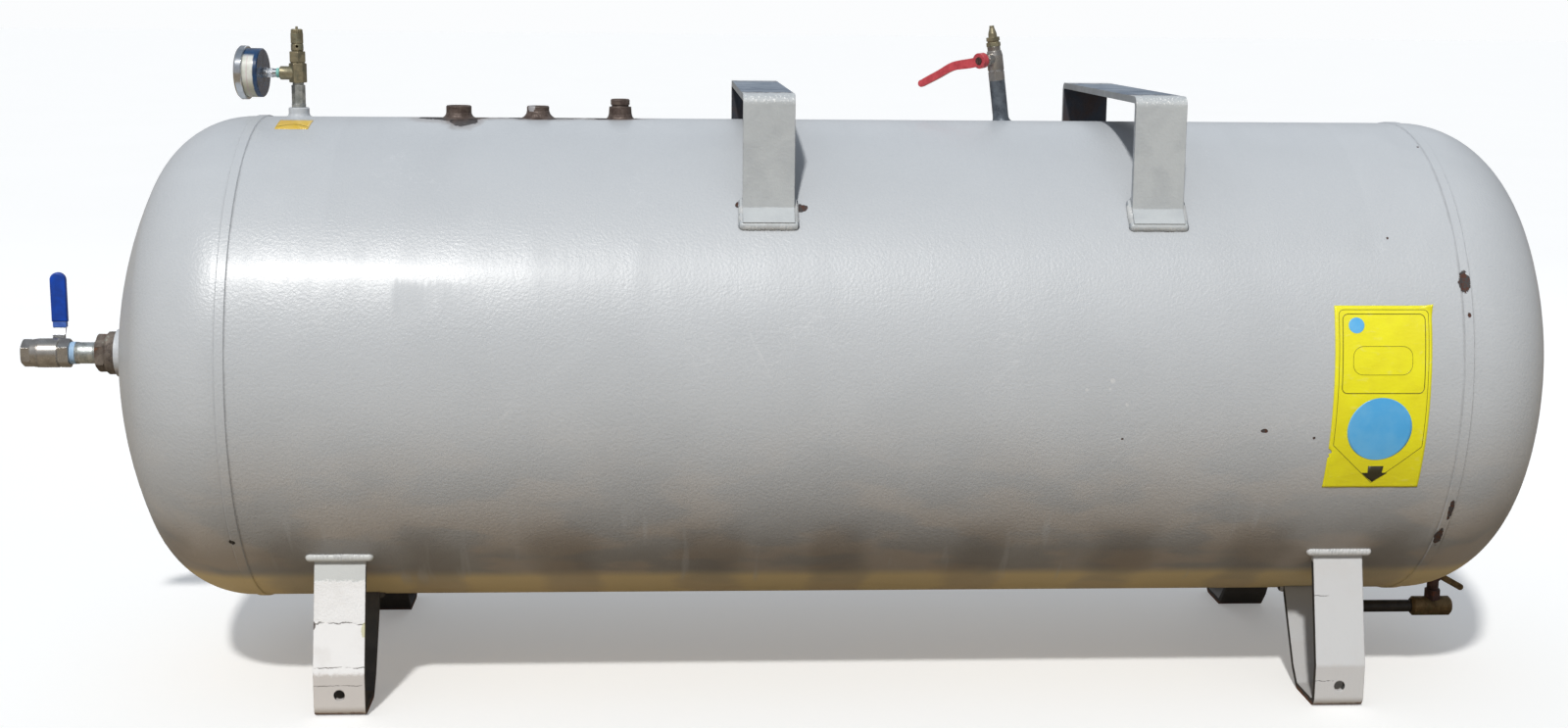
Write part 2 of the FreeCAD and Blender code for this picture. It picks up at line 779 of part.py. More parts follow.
def top_socket(x, r, foot_r, bore, rise, neck):
    # socket on its weld fillet; one of them has a grooved neck on top
    body = [(bore, -small_sink), (foot_r, -small_sink)] + flare(foot_r, r, -1.5, rise * socket_fillet_share)
    if neck:
        groove_r = neck_r - neck_groove
        top = rise + neck_h
        body += [(r - 0.5, rise), (neck_r, rise), (groove_r, rise + 0.6),
                 (groove_r, rise + 0.6 + neck_groove_width), (neck_r, rise + corner + neck_groove_width),
                 (neck_r, top - corner), (neck_r - corner, top), (bore, top)]
    else:
        body += [(r, rise - corner), (r - corner, rise), (bore, rise)]
    piece = lathe(body)
    piece.translate(V(x, 0, shell_r))
    return piece.cut(shell_solid())


def riser_at(shape):
    # leans to the left on its foot behind the crest
    shape.rotate(centre_point, along_y, -riser_lean)
    shape.translate(V(riser_x, riser_y, math.sqrt(shell_r ** 2 - riser_y ** 2)))
    return shape


def riser_pipe():
    # pipe on its weld fillet, with the spigot that screws into the small valve
    sink = 2 * small_sink
    pipe = cyl(riser_r, riser_height + sink, V(0, 0, -sink))
    foot_r = riser_r + riser_weld
    foot_weld = lathe([(0, -small_sink), (foot_r, -small_sink)] + flare(foot_r, riser_r, -1, riser_weld_rise)
                      + [(0, riser_weld_rise)])
    spigot = cyl(riser_spigot_r, riser_spigot, V(0, 0, riser_height))
    way = cyl(riser_bore_r, 2 * riser_height, V(0, 0, -riser_height / 2))
    return riser_at(pipe.fuse([foot_weld, spigot]).cut(way)).cut(shell_solid())


def stem_way(shape):
    # turns a piece built up along Z to point out of the small valve's side
    shape.rotate(centre_point, along_x, 90)
    shape.rotate(centre_point, along_z, -stem_turn)
    shape.translate(V(0, 0, stem_height))
    return shape


def small_valve():
    top = small_barrel_z + small_barrel_h
    r = small_barrel_r
    barrel = lathe([(0, small_barrel_z), (r - corner, small_barrel_z), (r, small_barrel_z + 2),
                    (r, top - small_barrel_shoulder), (r - corner, top), (0, top)])
    boss = cyl(small_boss_r, small_boss_reach).fuse(hexagon(small_gland_af, small_gland, small_boss_reach))
    body = hexagon(small_hex_af, small_hex_h, riser_height, 10).fuse([
        barrel, cyl(small_neck_r, small_neck_h, V(0, 0, top)), stem_way(boss)])
    shank_z = nozzle_z - nozzle_shank
    ways = [cyl(riser_spigot_r, riser_spigot, V(0, 0, riser_height)),
            cyl(small_way_r, nozzle_z, V(0, 0, riser_height)),
            cyl(nozzle_shank_r, nozzle_shank + past, V(0, 0, shank_z)),
            stem_way(cyl(small_stem_r + stem_gap, 2 * red_eye_in))]
    return riser_at(body.cut(ways))


def red_stem():
    # stem through the gland and the lever's eye, with a slotted screw head
    shaft = cyl(small_stem_r, red_face - red_screw - small_stem_start, V(0, 0, small_stem_start))
    screw = cyl(red_screw_r, 2 * red_screw, V(0, 0, red_face - red_screw))
    slot = box(-red_slot, red_slot, -red_eye_r, red_eye_r, red_face + red_screw / 3, red_face + 2 * red_screw)
    return riser_at(stem_way(shaft.fuse(screw).cut(slot)))


def red_arm():
    # cast arm: a drooping tapered outline between two splines, closed by a round nose
    upper = [V(u, 0, v + h) for (u, v), h in zip(red_path, red_half)]
    lower = [V(u, 0, v - h) for (u, v), h in zip(red_path, red_half)]
    edges = []
    for points in (upper, lower):
        curve = Part.BSplineCurve()
        curve.interpolate(points)
        edges.append(curve.toShape())
    tip_u, tip_v = red_path[-1]
    nose = Part.Arc(upper[-1], V(tip_u + red_half[-1], 0, tip_v), lower[-1]).toShape()
    outline = Part.Wire([edges[0], nose, edges[1], Part.makeLine(lower[0], upper[0])])
    arm = Part.Face(outline).extrude(V(0, red_arm_thick, 0))
    arm.translate(V(0, -red_arm_thick / 2, 0))
    arm.rotate(centre_point, along_z, 180 - red_swing)
    out = red_eye_in + red_eye_thick / 2
    turn = math.radians(stem_turn)
    arm.translate(V(-out * math.sin(turn), -out * math.cos(turn), stem_height))
    return arm


def red_lever():
    eye = stem_way(cyl(red_eye_r, red_eye_thick, V(0, 0, red_eye_in)))
    recess = stem_way(cyl(red_screw_r, red_eye_thick, V(0, 0, red_face - red_screw)))
    bore = stem_way(cyl(small_stem_r, 2 * red_face))
    return riser_at(eye.fuse(red_arm()).removeSplitter().cut([recess, bore]))


def nozzle():
    # two hexagons with a round waist, a taper and the shank in the small valve
    top = nozzle_z + nozzle_hex_h
    low = hexagon(nozzle_af, nozzle_hex_h * 0.45, nozzle_z, 0)
    waist = cyl(nozzle_af / 2 - 0.6, nozzle_hex_h * 0.2, V(0, 0, nozzle_z + nozzle_hex_h * 0.42))
    high = hexagon(nozzle_af, nozzle_hex_h * 0.4, nozzle_z + nozzle_hex_h * 0.6, 30)
    taper = lathe([(0, top), (nozzle_r, top), (nozzle_r - 0.3, top + nozzle_h / 3),
                   (nozzle_tip_r + 0.3, top + nozzle_h * 0.8), (nozzle_tip_r, top + nozzle_h),
                   (0, top + nozzle_h)])
    shank = cyl(nozzle_shank_r, nozzle_shank, V(0, 0, nozzle_z - nozzle_shank))
    way_h = 2 * (nozzle_shank + nozzle_hex_h + nozzle_h)
    way = cyl(nozzle_bore_r, way_h, V(0, 0, nozzle_z - 2 * nozzle_shank))
    return riser_at(low.fuse([waist, high, taper, shank]).cut(way))


def drain_nipple():
    # pipe down from the head, with the cock's boss across it
    low = drain_body_z + drain_body_r - drain_grip
    height = -shell_r / 2 - low
    boss = cyl(cock_r, cock_reach + cock_r, V(drain_x, -cock_r, cock_z), along_y)
    body = cyl(drain_r, height, V(drain_x, 0, low)).fuse(boss)
    ways = [cyl(drain_r - drain_wall, height + 2 * past, V(drain_x, 0, low - past)),
            cyl(cock_stem_r + stem_gap, 2 * cock_reach, V(drain_x, 0, cock_z), along_y)]
    return body.cut(ways).cut(head_solid())


def drain_nut():
    # hexagon saddled on the drain body
    low = drain_body_z + drain_body_r - drain_nut_lap
    body = hexagon(drain_nut_af, drain_nut_z - low, low, 15)
    body.translate(V(drain_x, 0, 0))
    saddle = cyl(drain_body_r, 4 * drain_body_r, V(drain_x - 2 * drain_body_r, 0, drain_body_z), along_x)
    way = cyl(drain_r, 4 * drain_body_r, V(drain_x, 0, drain_body_z))
    return body.cut([saddle, way])


def drain_body():
    length = drain_body_reach[1] - drain_body_reach[0]
    face_r = drain_body_r - drain_body_corner
    body = lathe([(0, 0), (face_r, 0), (drain_body_r, drain_body_corner),
                  (drain_body_r, length - drain_body_corner), (face_r, length), (0, length)])
    body.rotate(centre_point, along_y, 90)
    body.translate(V(drain_body_x, 0, drain_body_z))
    seat = drain_body_z + drain_body_r - drain_grip - past
    ways = [cyl(drain_r, 2 * drain_body_r, V(drain_x, 0, seat)),
            cyl(drain_shank_r, drain_shank + past, V(drain_body_x - past, 0, drain_body_z), along_x),
            cyl(drain_tail_bore_r, length - small_sink, V(drain_body_x, 0, drain_body_z), along_x)]
    return body.cut(ways)


def drain_tail():
    tail = cyl(drain_tail_r, drain_tail_length, V(drain_tail_x, 0, drain_body_z), along_x)
    shank = cyl(drain_shank_r, drain_shank, V(drain_body_x, 0, drain_body_z), along_x)
    length = drain_tail_length + drain_shank + 2 * past
    way = cyl(drain_tail_bore_r, length, V(drain_tail_x - past, 0, drain_body_z), along_x)
    return tail.fuse(shank).cut(way)


def drain_wing():
    # flat key on the cock's stem, pointing right and down
    far = wing_length - wing_half
    plate = box(0, far, wing_y, wing_y + wing_thick, -wing_half, wing_half)
    tip = cyl(wing_half, wing_thick, V(far, wing_y, 0), along_y)
    eye = cyl(wing_eye_r, wing_thick, V(0, wing_y, 0), along_y)
    shaft = cyl(cock_stem_r, wing_y + wing_thick - cock_stem_start, V(0, cock_stem_start, 0), along_y)
    body = plate.fuse([tip, eye, shaft]).removeSplitter()
    body.rotate(centre_point, along_y, wing_drop)
    body.translate(V(drain_x, 0, cock_z))
    return body


def write(name, shape):
    shape = shape.copy()
    shape.translate(V(middle_x, 0, axis_height))
    if len(shape.Solids) == 1:
        shape = shape.Solids[0]
    shape.exportStep("parts/%s.step" % name)
    print(name, "solids", len(shape.Solids), "valid", shape.isValid(), "volume", round(shape.Volume))


write("shell", shell())
write("left_head", left_head())
write("right_head", right_head())
for name, x in (("left", -girth_x), ("right", girth_x)):
    write(name + "_girth_weld", girth_weld(x))
for name, x in zip(("left", "right"), bracket_x):
    write(name + "_bracket", bracket(x))
for end, x in (("left", -foot_x), ("right", foot_x)):
    for face, side in (("front", -1), ("back", 1)):
        write("%s_%s_foot" % (face, end), foot(x, side))
write("outlet_pad", outlet_pad())
write("outlet_socket", outlet_socket())
write("outlet_bushing", outlet_bushing())
write("outlet_nipple", outlet_nipple())
write("thread_tape", thread_tape())
write("valve_body", valve_body())
write("valve_stem", valve_stem())
write("valve_lever", valve_lever())
write("lever_grip", lever_grip())
write("grip_collar", grip_collar())
write("gauge_boss", gauge_boss())
write("gauge_riser", gauge_riser())
write("gauge_tee", gauge_tee())
write("gauge_tape", gauge_tape_ring())
write("gauge_stem", gauge_stem())
write("gauge_case", gauge_case())
write("gauge_bezel", gauge_bezel())
write("gauge_glass", gauge_glass())
write("gauge_dial", gauge_dial())
write("gauge_needle", gauge_needle())
write("relief_body", relief_body())
write("relief_cap", relief_cap())
for name, x, r, foot_r, bore, rise in sockets:
    write("top_socket_" + name, top_socket(x, r, foot_r, bore, rise, name == "c"))
write("riser_pipe", riser_pipe())
write("small_valve", small_valve())
write("red_stem", red_stem())
write("red_lever", red_lever())
write("nozzle", nozzle())
write("drain_nipple", drain_nipple())
write("drain_nut", drain_nut())
write("drain_body", drain_body())
write("drain_tail", drain_tail())
write("drain_wing", drain_wing())
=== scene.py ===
import json
import math
from functools import partial

import bpy
import numpy as np
from mathutils import Matrix, Vector


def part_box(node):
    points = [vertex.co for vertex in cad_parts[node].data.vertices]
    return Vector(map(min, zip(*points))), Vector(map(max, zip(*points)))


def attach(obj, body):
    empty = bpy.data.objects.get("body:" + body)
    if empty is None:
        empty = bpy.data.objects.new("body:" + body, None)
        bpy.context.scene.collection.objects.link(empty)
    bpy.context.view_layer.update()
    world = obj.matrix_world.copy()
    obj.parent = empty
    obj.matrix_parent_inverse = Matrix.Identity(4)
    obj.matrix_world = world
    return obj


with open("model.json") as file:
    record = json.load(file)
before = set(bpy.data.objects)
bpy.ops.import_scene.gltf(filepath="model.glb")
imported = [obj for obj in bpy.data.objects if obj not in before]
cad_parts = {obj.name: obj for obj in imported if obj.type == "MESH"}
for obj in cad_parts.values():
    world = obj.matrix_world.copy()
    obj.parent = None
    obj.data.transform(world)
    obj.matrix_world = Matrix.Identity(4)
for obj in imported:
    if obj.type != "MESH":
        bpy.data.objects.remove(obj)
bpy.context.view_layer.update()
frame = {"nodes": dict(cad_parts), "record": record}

# every place is worked out from the shell's middle, the height of its axis and its radius, in metres
shellLow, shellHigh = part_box("shell")
midX = (shellLow.x + shellHigh.x) / 2
axisZ = (shellLow.z + shellHigh.z) / 2
shellR = (shellHigh.z - shellLow.z) / 2
scene = bpy.context.scene
print("frame loaded:", len(frame["nodes"]), "nodes")


def middle(node):
    low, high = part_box(node)
    return (low + high) / 2


# small helpers for node trees; all of them add to the tree that is open
opened = {}


def put(kind, inputs=None, **settings):
    # one node: its settings, then each input, by name or number, is linked when it is a socket, else set
    node = opened["tree"].nodes.new(kind)
    for key, value in settings.items():
        setattr(node, key, value)
    for key, value in (inputs or {}).items():
        plug(value, node.inputs[key])
    return node


def plug(value, socket):
    if isinstance(value, bpy.types.NodeSocket):
        opened["tree"].links.new(value, socket)
    elif value is not None:
        socket.default_value = value


def rgb(red, green, blue):
    # 0..255 display values to linear light
    return tuple(((c / 255) / 12.92) if c < 11 else ((c / 255 + 0.055) / 1.055) ** 2.4
                 for c in (red, green, blue)) + (1,)


def calc(operation, *values, clamp=False):
    return put("ShaderNodeMath", dict(enumerate(values)), operation=operation, use_clamp=clamp).outputs[0]


plus, minus = partial(calc, "ADD"), partial(calc, "SUBTRACT")
scaled, absolute = partial(calc, "MULTIPLY_ADD"), partial(calc, "ABSOLUTE")


def vectorCalc(operation, *values, out="Vector"):
    return put("ShaderNodeVectorMath", dict(enumerate(values)), operation=operation).outputs[out]


def both(mask, *others):
    # product of masks
    for other in others:
        mask = calc("MULTIPLY", mask, other)
    return mask


def either(mask, *others):
    # largest of masks
    for other in others:
        mask = calc("MAXIMUM", mask, other)
    return mask


def flip(mask):
    return minus(1, mask)


def mixColour(factor, a, b):
    return put("ShaderNodeMix", {0: factor, 6: a, 7: b}, data_type="RGBA").outputs[2]


def mixValue(factor, a, b):
    return put("ShaderNodeMix", {0: factor, 2: a, 3: b}, data_type="FLOAT").outputs[0]


def over(colour, tone, *masks):
    # a tone laid over a colour where the product of the masks says
    return mixColour(both(*masks), colour, tone)


def rise(value, low, high, start=0, end=1):
    # eased step: start below low, end above high
    return put("ShaderNodeMapRange", {0: value, 1: low, 2: high, 3: start, 4: end},
               interpolation_type="SMOOTHSTEP").outputs[0]


def between(value, low, high, soft):
    # one between two values, easing off outside the first and the last
    return both(rise(value, low - soft, low), flip(rise(value, high, high + soft)))


def noise(vector, scale, detail=3, rough=0.55, warp=0):
    return put("ShaderNodeTexNoise", {"Vector": vector, "Scale": scale, "Detail": detail, "Roughness": rough,
                                      "Distortion": warp}).outputs["Fac"]


def shake(amount, *settings):
    # noise brought to swing round zero by half the amount to each side
    return scaled(noise(*settings), amount, -amount / 2)


def stretch(vector, x, y, z):
    # the same place measured with another step along each axis
    return vectorCalc("MULTIPLY", vector, (x, y, z))


def split(vector):
    return list(put("ShaderNodeSeparateXYZ", {"Vector": vector}).outputs)


def facing():
    return put("ShaderNodeNewGeometry").outputs["Normal"]


def bump(height, depth, strength=1, normal=None):
    return put("ShaderNodeBump", {"Height": height, "Distance": depth, "Strength": strength,
                                  "Normal": normal}).outputs["Normal"]


def openGroup(name, **inputs):
    # node group that takes a Vector and the named values or vectors; gives their sockets
    tree = opened["tree"] = bpy.data.node_groups.new(name, "ShaderNodeTree")
    for key, value in {"Vector": (0, 0, 0), **inputs}.items():
        kind = "NodeSocketVector" if isinstance(value, tuple) else "NodeSocketFloat"
        tree.interface.new_socket(key, in_out="INPUT", socket_type=kind).default_value = value
    return tree.nodes.new("NodeGroupInput").outputs


def closeGroup(**outputs):
    # named masks and values out of the group, and a vector where the name is Normal
    tree = opened["tree"]
    for key in outputs:
        kind = "NodeSocketVector" if key == "Normal" else "NodeSocketFloat"
        tree.interface.new_socket(key, in_out="OUTPUT", socket_type=kind)
    give = tree.nodes.new("NodeGroupOutput").inputs
    for key, value in outputs.items():
        plug(value, give[key])
    return tree


def useGroup(group, **inputs):
    return put("ShaderNodeGroup", inputs, node_tree=group).outputs


def openMaterial(name):
    # empty material; gives the Object coordinates
    opened["material"] = bpy.data.materials.new(name + "_finish")
    opened["material"].use_nodes = True
    opened["tree"] = opened["material"].node_tree
    opened["tree"].nodes.clear()
    return put("ShaderNodeTexCoord").outputs["Object"]


socketNames = {
    "colour": "Base Color", "rough": "Roughness", "metal": "Metallic", "normal": "Normal", "ior": "IOR",
    "coat": "Coat Weight", "coatRough": "Coat Roughness", "clear": "Transmission Weight",
    "gloss": "Specular IOR Level", "glow": "Emission Color", "glowStrength": "Emission Strength",
}


def closeMaterial(**sockets):
    # Principled shader with the given sockets, and the output
    shader = put("ShaderNodeBsdfPrincipled", {socketNames[key]: value for key, value in sockets.items()})
    put("ShaderNodeOutputMaterial", {"Surface": shader.outputs[0]})
    return opened["material"]


# effects shared by several materials
def makePaintSkin():
    # orange peel of two grain sizes, broad mottling and slow waves of the plate under it
    here = openGroup("paintSkin")["Vector"]
    fine = noise(here, 300, 2, 0.45)
    finer = noise(here, 870, 1)
    return closeGroup(Peel=scaled(finer, 0.3, fine), Mottle=noise(here, 7, 5, 0.6, 0.3),
                      Wave=noise(here, 2.6, 1, 0.4))


def makeSpecks():
    # a dot of random size in some of the cells of a random grid
    get = openGroup("specks", Scale=20, Size=0.1, Share=0.3)
    cells = put("ShaderNodeTexVoronoi", {"Vector": get["Vector"], "Scale": get["Scale"]}).outputs
    red, green = split(cells["Color"])[:2]
    size = both(get["Size"], scaled(green, 0.7, 0.3))
    ragged = scaled(noise(get["Vector"], 900, 2), 0.05, cells["Distance"])
    dot = flip(rise(calc("DIVIDE", ragged, size), 0.8, 1.1))
    return closeGroup(Mask=both(dot, calc("LESS_THAN", red, get["Share"])))


def makeSpot():
    # ragged patch: distance from its centre over its reach, shaken by noise, under one
    get = openGroup("raggedSpot", Centre=(0, 0, 0), Reach=(1, 1, 1), Rag=0.6, Grain=150)
    away = vectorCalc("DIVIDE", vectorCalc("SUBTRACT", get["Vector"], get["Centre"]), get["Reach"])
    rag = minus(noise(get["Vector"], get["Grain"], 4, 0.6), 0.5)
    far = scaled(rag, get["Rag"], vectorCalc("LENGTH", away, out="Value"))
    inside = flip(rise(far, 0.92, 1.05))
    return closeGroup(Mask=inside, Rim=both(flip(rise(far, 1.1, 1.7)), flip(inside)))


def makeEdgeWear():
    # where the rounded normal leaves the face's own, broken up by grain
    get = openGroup("edgeWear", Radius=0.0015, Grain=180)
    soft = put("ShaderNodeBevel", {"Radius": get["Radius"]}, samples=4).outputs[0]
    turn = flip(vectorCalc("DOT_PRODUCT", soft, facing(), out="Value"))
    grain = noise(get["Vector"], get["Grain"], 4, 0.65)
    return closeGroup(Mask=both(rise(turn, 0.01, 0.12), rise(grain, 0.38, 0.6)), Normal=soft)


def makeCrevice():
    # how closed in a point is, broken up by noise; it darkens hollows as painted shade and dirt
    get = openGroup("creviceShadeAndDirt", Reach=0.01, Grain=90)
    shade = put("ShaderNodeAmbientOcclusion", {"Distance": get["Reach"]}, samples=4).outputs["AO"]
    grain = noise(get["Vector"], get["Grain"], 4, 0.6)
    return closeGroup(Mask=both(rise(flip(shade), 0.12, 0.7), scaled(grain, 0.9, 0.5)))


def makeMetalGrain():
    # fine grain, clouds and scattered pits of a metal surface
    get = openGroup("metalGrain", Fine=900, Cloud=60)
    here = get["Vector"]
    cells = put("ShaderNodeTexVoronoi", {"Vector": here, "Scale": both(get["Fine"], 0.45)})
    patchy = rise(noise(here, get["Cloud"], 2), 0.4, 0.62)
    clouds = noise(here, get["Cloud"], 4, 0.6, 0.4)
    return closeGroup(Grain=noise(here, get["Fine"], 3, 0.6), Clouds=clouds,
                      Pits=both(flip(rise(cells.outputs["Distance"], 0.1, 0.34)), patchy))


def makeScratches():
    # thin scratches: three turned and stretched noises, each cut to a line where it crosses a half
    get = openGroup("scratches", Scale=12)
    lines = []
    for turn in (0.35, -1.1, 2):
        turned = put("ShaderNodeVectorRotate", {"Vector": get["Vector"], "Angle": turn,
                                                "Axis": (0.3, 1, 0.2)}, rotation_type="AXIS_ANGLE").outputs[0]
        ridge = absolute(minus(noise(stretch(turned, 30, 30, 1), get["Scale"], 1, 0.4), 0.5))
        lines.append(flip(rise(ridge, 0, 0.012)))
    return closeGroup(Mask=both(either(*lines), rise(noise(get["Vector"], 9, 3), 0.58, 0.66)))


paintSkin, specks, raggedSpot = makePaintSkin(), makeSpecks(), makeSpot()
edgeWear, creviceShadeAndDirt = makeEdgeWear(), makeCrevice()
metalGrain, scratches = makeMetalGrain(), makeScratches()


def spotOf(vector, centre, reach, rag, grain=150):
    return useGroup(raggedSpot, Vector=vector, Centre=centre, Reach=reach, Rag=rag, Grain=grain)


def wearOf(vector, radius, grain):
    return useGroup(edgeWear, Vector=vector, Radius=radius, Grain=grain)


def shadeAndDirtOf(vector, reach, grain=90):
    return useGroup(creviceShadeAndDirt, Vector=vector, Reach=reach, Grain=grain)["Mask"]


def dotsOf(vector, scale, size, share):
    return useGroup(specks, Vector=vector, Scale=scale, Size=size, Share=share)["Mask"]


print("shared effects built")

# tank paint
tankSet = {
    "paint": (0.565, 0.591, 0.617, 1), "shade": (0.5, 0.525, 0.55, 1), "rough": 0.36, "peelDepth": 0.00042,
    # the dust, clay, gold and pale splash tones are partly a painted reflection of the brown ground on the belly
    "dust": rgb(94, 80, 64), "reflectedClay": rgb(158, 128, 86), "reflectedGold": rgb(186, 152, 100), "rust": rgb(84, 52, 40),
    "seam": rgb(92, 88, 84), "bare": rgb(70, 66, 66), "groundReflection": rgb(228, 210, 164), "burnt": rgb(42, 34, 34),
    "scorch": rgb(118, 100, 90), "rubbed": rgb(232, 234, 236), "spot": rgb(240, 240, 238),
    "reflectedColumn": 38.1, "seamAt": 0.713, "seamHalf": 0.0065, "straight": (0.745, 0.715),
    "dull": (-0.521, -0.457, 20.5, 25.4),  # dusty patch: along from, to, angle from, to
    "patch": (-0.6, 0.608, 30),  # darker patch over the crest: along from, to, angle from
    # chips as (along, to the back, up) from the tank's middle, then their reach
    "chips": [
        (0.711, -0.27, 0.131, 0.0068, 0.01, 0.015), (0.715, -0.266, -0.14, 0.0034, 0.011, 0.017),
        (0.7115, -0.241, -0.18, 0.0048, 0.014, 0.0165), (0.7137, -0.2846, 0.0948, 0.003, 0.003, 0.003),
        (-0.1274, -0.2113, 0.213, 0.006, 0.006, 0.005), (-0.057, -0.2147, 0.2094, 0.008, 0.006, 0.005),
        (0.4761, -0.2975, -0.0386, 0.0042, 0.004, 0.0022), (0.5357, -0.2963, -0.0472, 0.0016, 0.003, 0.0016),
        (0.311, -0.296, -0.0477, 0.0015, 0.003, 0.0012), (0.628, -0.2404, 0.1795, 0.0016, 0.002, 0.0016),
        (0.7043, -0.1139, 0.2775, 0.0018, 0.002, 0.0012), (-0.31, 0.22, 0.204, 0.006, 0.008, 0.007),
        (0.44, 0.262, -0.146, 0.008, 0.006, 0.004), (-0.708, 0.25, -0.166, 0.004, 0.012, 0.014),
    ],
    "paleSpots": [((0.297, -0.299, 0.021), 0.0028), ((0.267, -0.3, 0.0105), 0.0018),
                  ((0.294, -0.3, 0.0116), 0.0016), ((0.314, -0.3, -0.0067), 0.002)],
    "hole": (-0.7176, -0.2407, -0.1791), "holeR": 0.0036,
    # burnt paint round the crest sockets: along, across, reach
    "scorches": [(-0.478, 0.002, (0.042, 0.03, 1)), (-0.462, -0.03, (0.017, 0.022, 1)),
                 (-0.366, 0.006, (0.056, 0.021, 1)), (-0.281, 0.006, (0.037, 0.019, 1))],
}


def tankPaint():
    s = tankSet
    here = openMaterial("tank_paint")
    out = vectorCalc("SUBTRACT", here, (midX, 0, axisZ))
    along, back, up = split(out)
    # degrees round the shell, 0 at the front and 90 at the crest
    angle = both(calc("ARCTAN2", up, both(back, -1)), 57.2958)
    around = put("ShaderNodeCombineXYZ", {"X": along, "Y": both(angle, shellR / 57.2958)}).outputs[0]
    skin = useGroup(paintSkin, Vector=here)
    # paint tone: mottling, vertical smudges and the broad darker patch over the crest
    colour = over(s["paint"], s["shade"], rise(skin["Mottle"], 0.35, 0.7, 0, 0.4))
    straight = rise(absolute(along), *s["straight"])  # away from the dished ends
    smudge = mixValue(straight, 0.5, noise(stretch(around, 26, 3.5, 1), 1, 4, 0.6))
    colour = over(colour, s["shade"], rise(smudge, 0.5, 0.78, 0, 0.22))
    left, right, start = s["patch"]
    sides = both(between(along, left, right, 0.006), rise(angle, start, start + 6),
                 flip(rise(angle, 170 - start, 176 - start)))
    colour = over(colour, s["shade"], sides, 0.22)
    # welding heat and soot around the crest sockets, with runs to the front
    flat = put("ShaderNodeCombineXYZ", {"X": along, "Y": both(back, 0.8)}).outputs[0]
    top = rise(up, 0.2, 0.24)
    burnt = 0
    for x, y, reach in s["scorches"]:
        spot = spotOf(flat, (x, y, 0), reach, 1.1, 55)
        colour = over(colour, s["scorch"], top, spot["Rim"], 0.4)
        colour = over(colour, s["burnt"], top, spot["Mask"], 0.92)
        burnt = either(both(top, spot["Mask"]), burnt)
    run = both(between(along, -0.474, -0.449, 0.005), rise(smudge, 0.42, 0.6), rise(angle, 74.5, 79),
               flip(rise(angle, 88, 92)))
    colour = over(colour, s["scorch"], run, 0.35)
    # fine dark lines at both toes of the girth welds, clearer on the shell's side
    seamAway = minus(absolute(along), s["seamAt"])
    wander = shake(0.0012, around, 60, 2)
    fade = rise(angle, 78, 30, 0.35, 1)
    for side, strength in ((-1, 0.2), (1, 0.1)):
        line = absolute(plus(minus(seamAway, side * s["seamHalf"]), wander))
        gaps = rise(noise(around, 14, 3), 0.3, 0.55)
        colour = over(colour, s["seam"], flip(rise(line, 0.0004, 0.0018)), strength, fade, gaps)
    # scratches, specks and pale spots
    colour = over(colour, s["rubbed"], useGroup(scratches, Vector=here, Scale=2)["Mask"], 0.16)
    colour = over(colour, s["rust"], dotsOf(here, 14, 0.022, 0.22), 0.75)
    for centre, reach in s["paleSpots"]:
        colour = over(colour, s["spot"], spotOf(out, centre, (reach,) * 3, 0.9, 400)["Mask"], 0.3)
    # dust on the underside together with a painted reflection of the brown ground, in patches along the belly
    # and gold near the very bottom
    under = rise(split(facing())[2], 0.05, -1)
    dustAndReflection = both(under, scaled(noise(here, 9, 5, 0.6), 0.5, 0.42))
    groundReflection = noise(stretch(around, 7, 16, 1), 1, 3, 0.5)
    reflectedTan = mixColour(rise(groundReflection, 0.44, 0.58), s["dust"], s["reflectedClay"])
    groundReflection = mixValue(straight, noise(here, 11, 3, 0.5), groundReflection)
    reflectedTan = over(reflectedTan, s["reflectedGold"], rise(up, -0.243, -0.274), rise(groundReflection, 0.36, 0.5))
    # the underside's brown is dust and a painted reflection of the ground
    colour = over(colour, reflectedTan, dustAndReflection, 0.8)
    # painted reflection of the ground: dark columns at even steps, a paler band between them along the bottom,
    # and lighter streaks of the paint tone through them
    step = scaled(along, s["reflectedColumn"], both(noise(here, 5, 2), 3))
    reflectedColumn = rise(plus(calc("SINE", step), scaled(groundReflection, 2, -1)), -0.3, 1)
    colour = over(colour, s["dust"], reflectedColumn, rise(up, -0.14, -0.185), rise(up, -0.262, -0.232), 0.3)
    colour = over(colour, s["groundReflection"], rise(up, -0.226, -0.245), rise(reflectedColumn, 1, 0, 0.55, 1))
    reflectedStreaks = rise(noise(stretch(around, 45, 5, 1), 1, 2), 0.6, 0.72)
    low = both(reflectedStreaks, rise(up, -0.115, -0.168), rise(up, -0.265, -0.237), straight)
    colour = over(colour, s["paint"], low, 0.35)
    # darker in the hollows by welds and fittings: dirt and painted shade
    colour = over(colour, s["seam"], shadeAndDirtOf(here, 0.012), 0.3)
    # chips down to dark primer with a rusty heart
    chipped = 0
    for x, y, z, *reach in s["chips"]:
        chipped = either(spotOf(out, (x, y, z), reach, 1.3, 170)["Mask"], chipped)
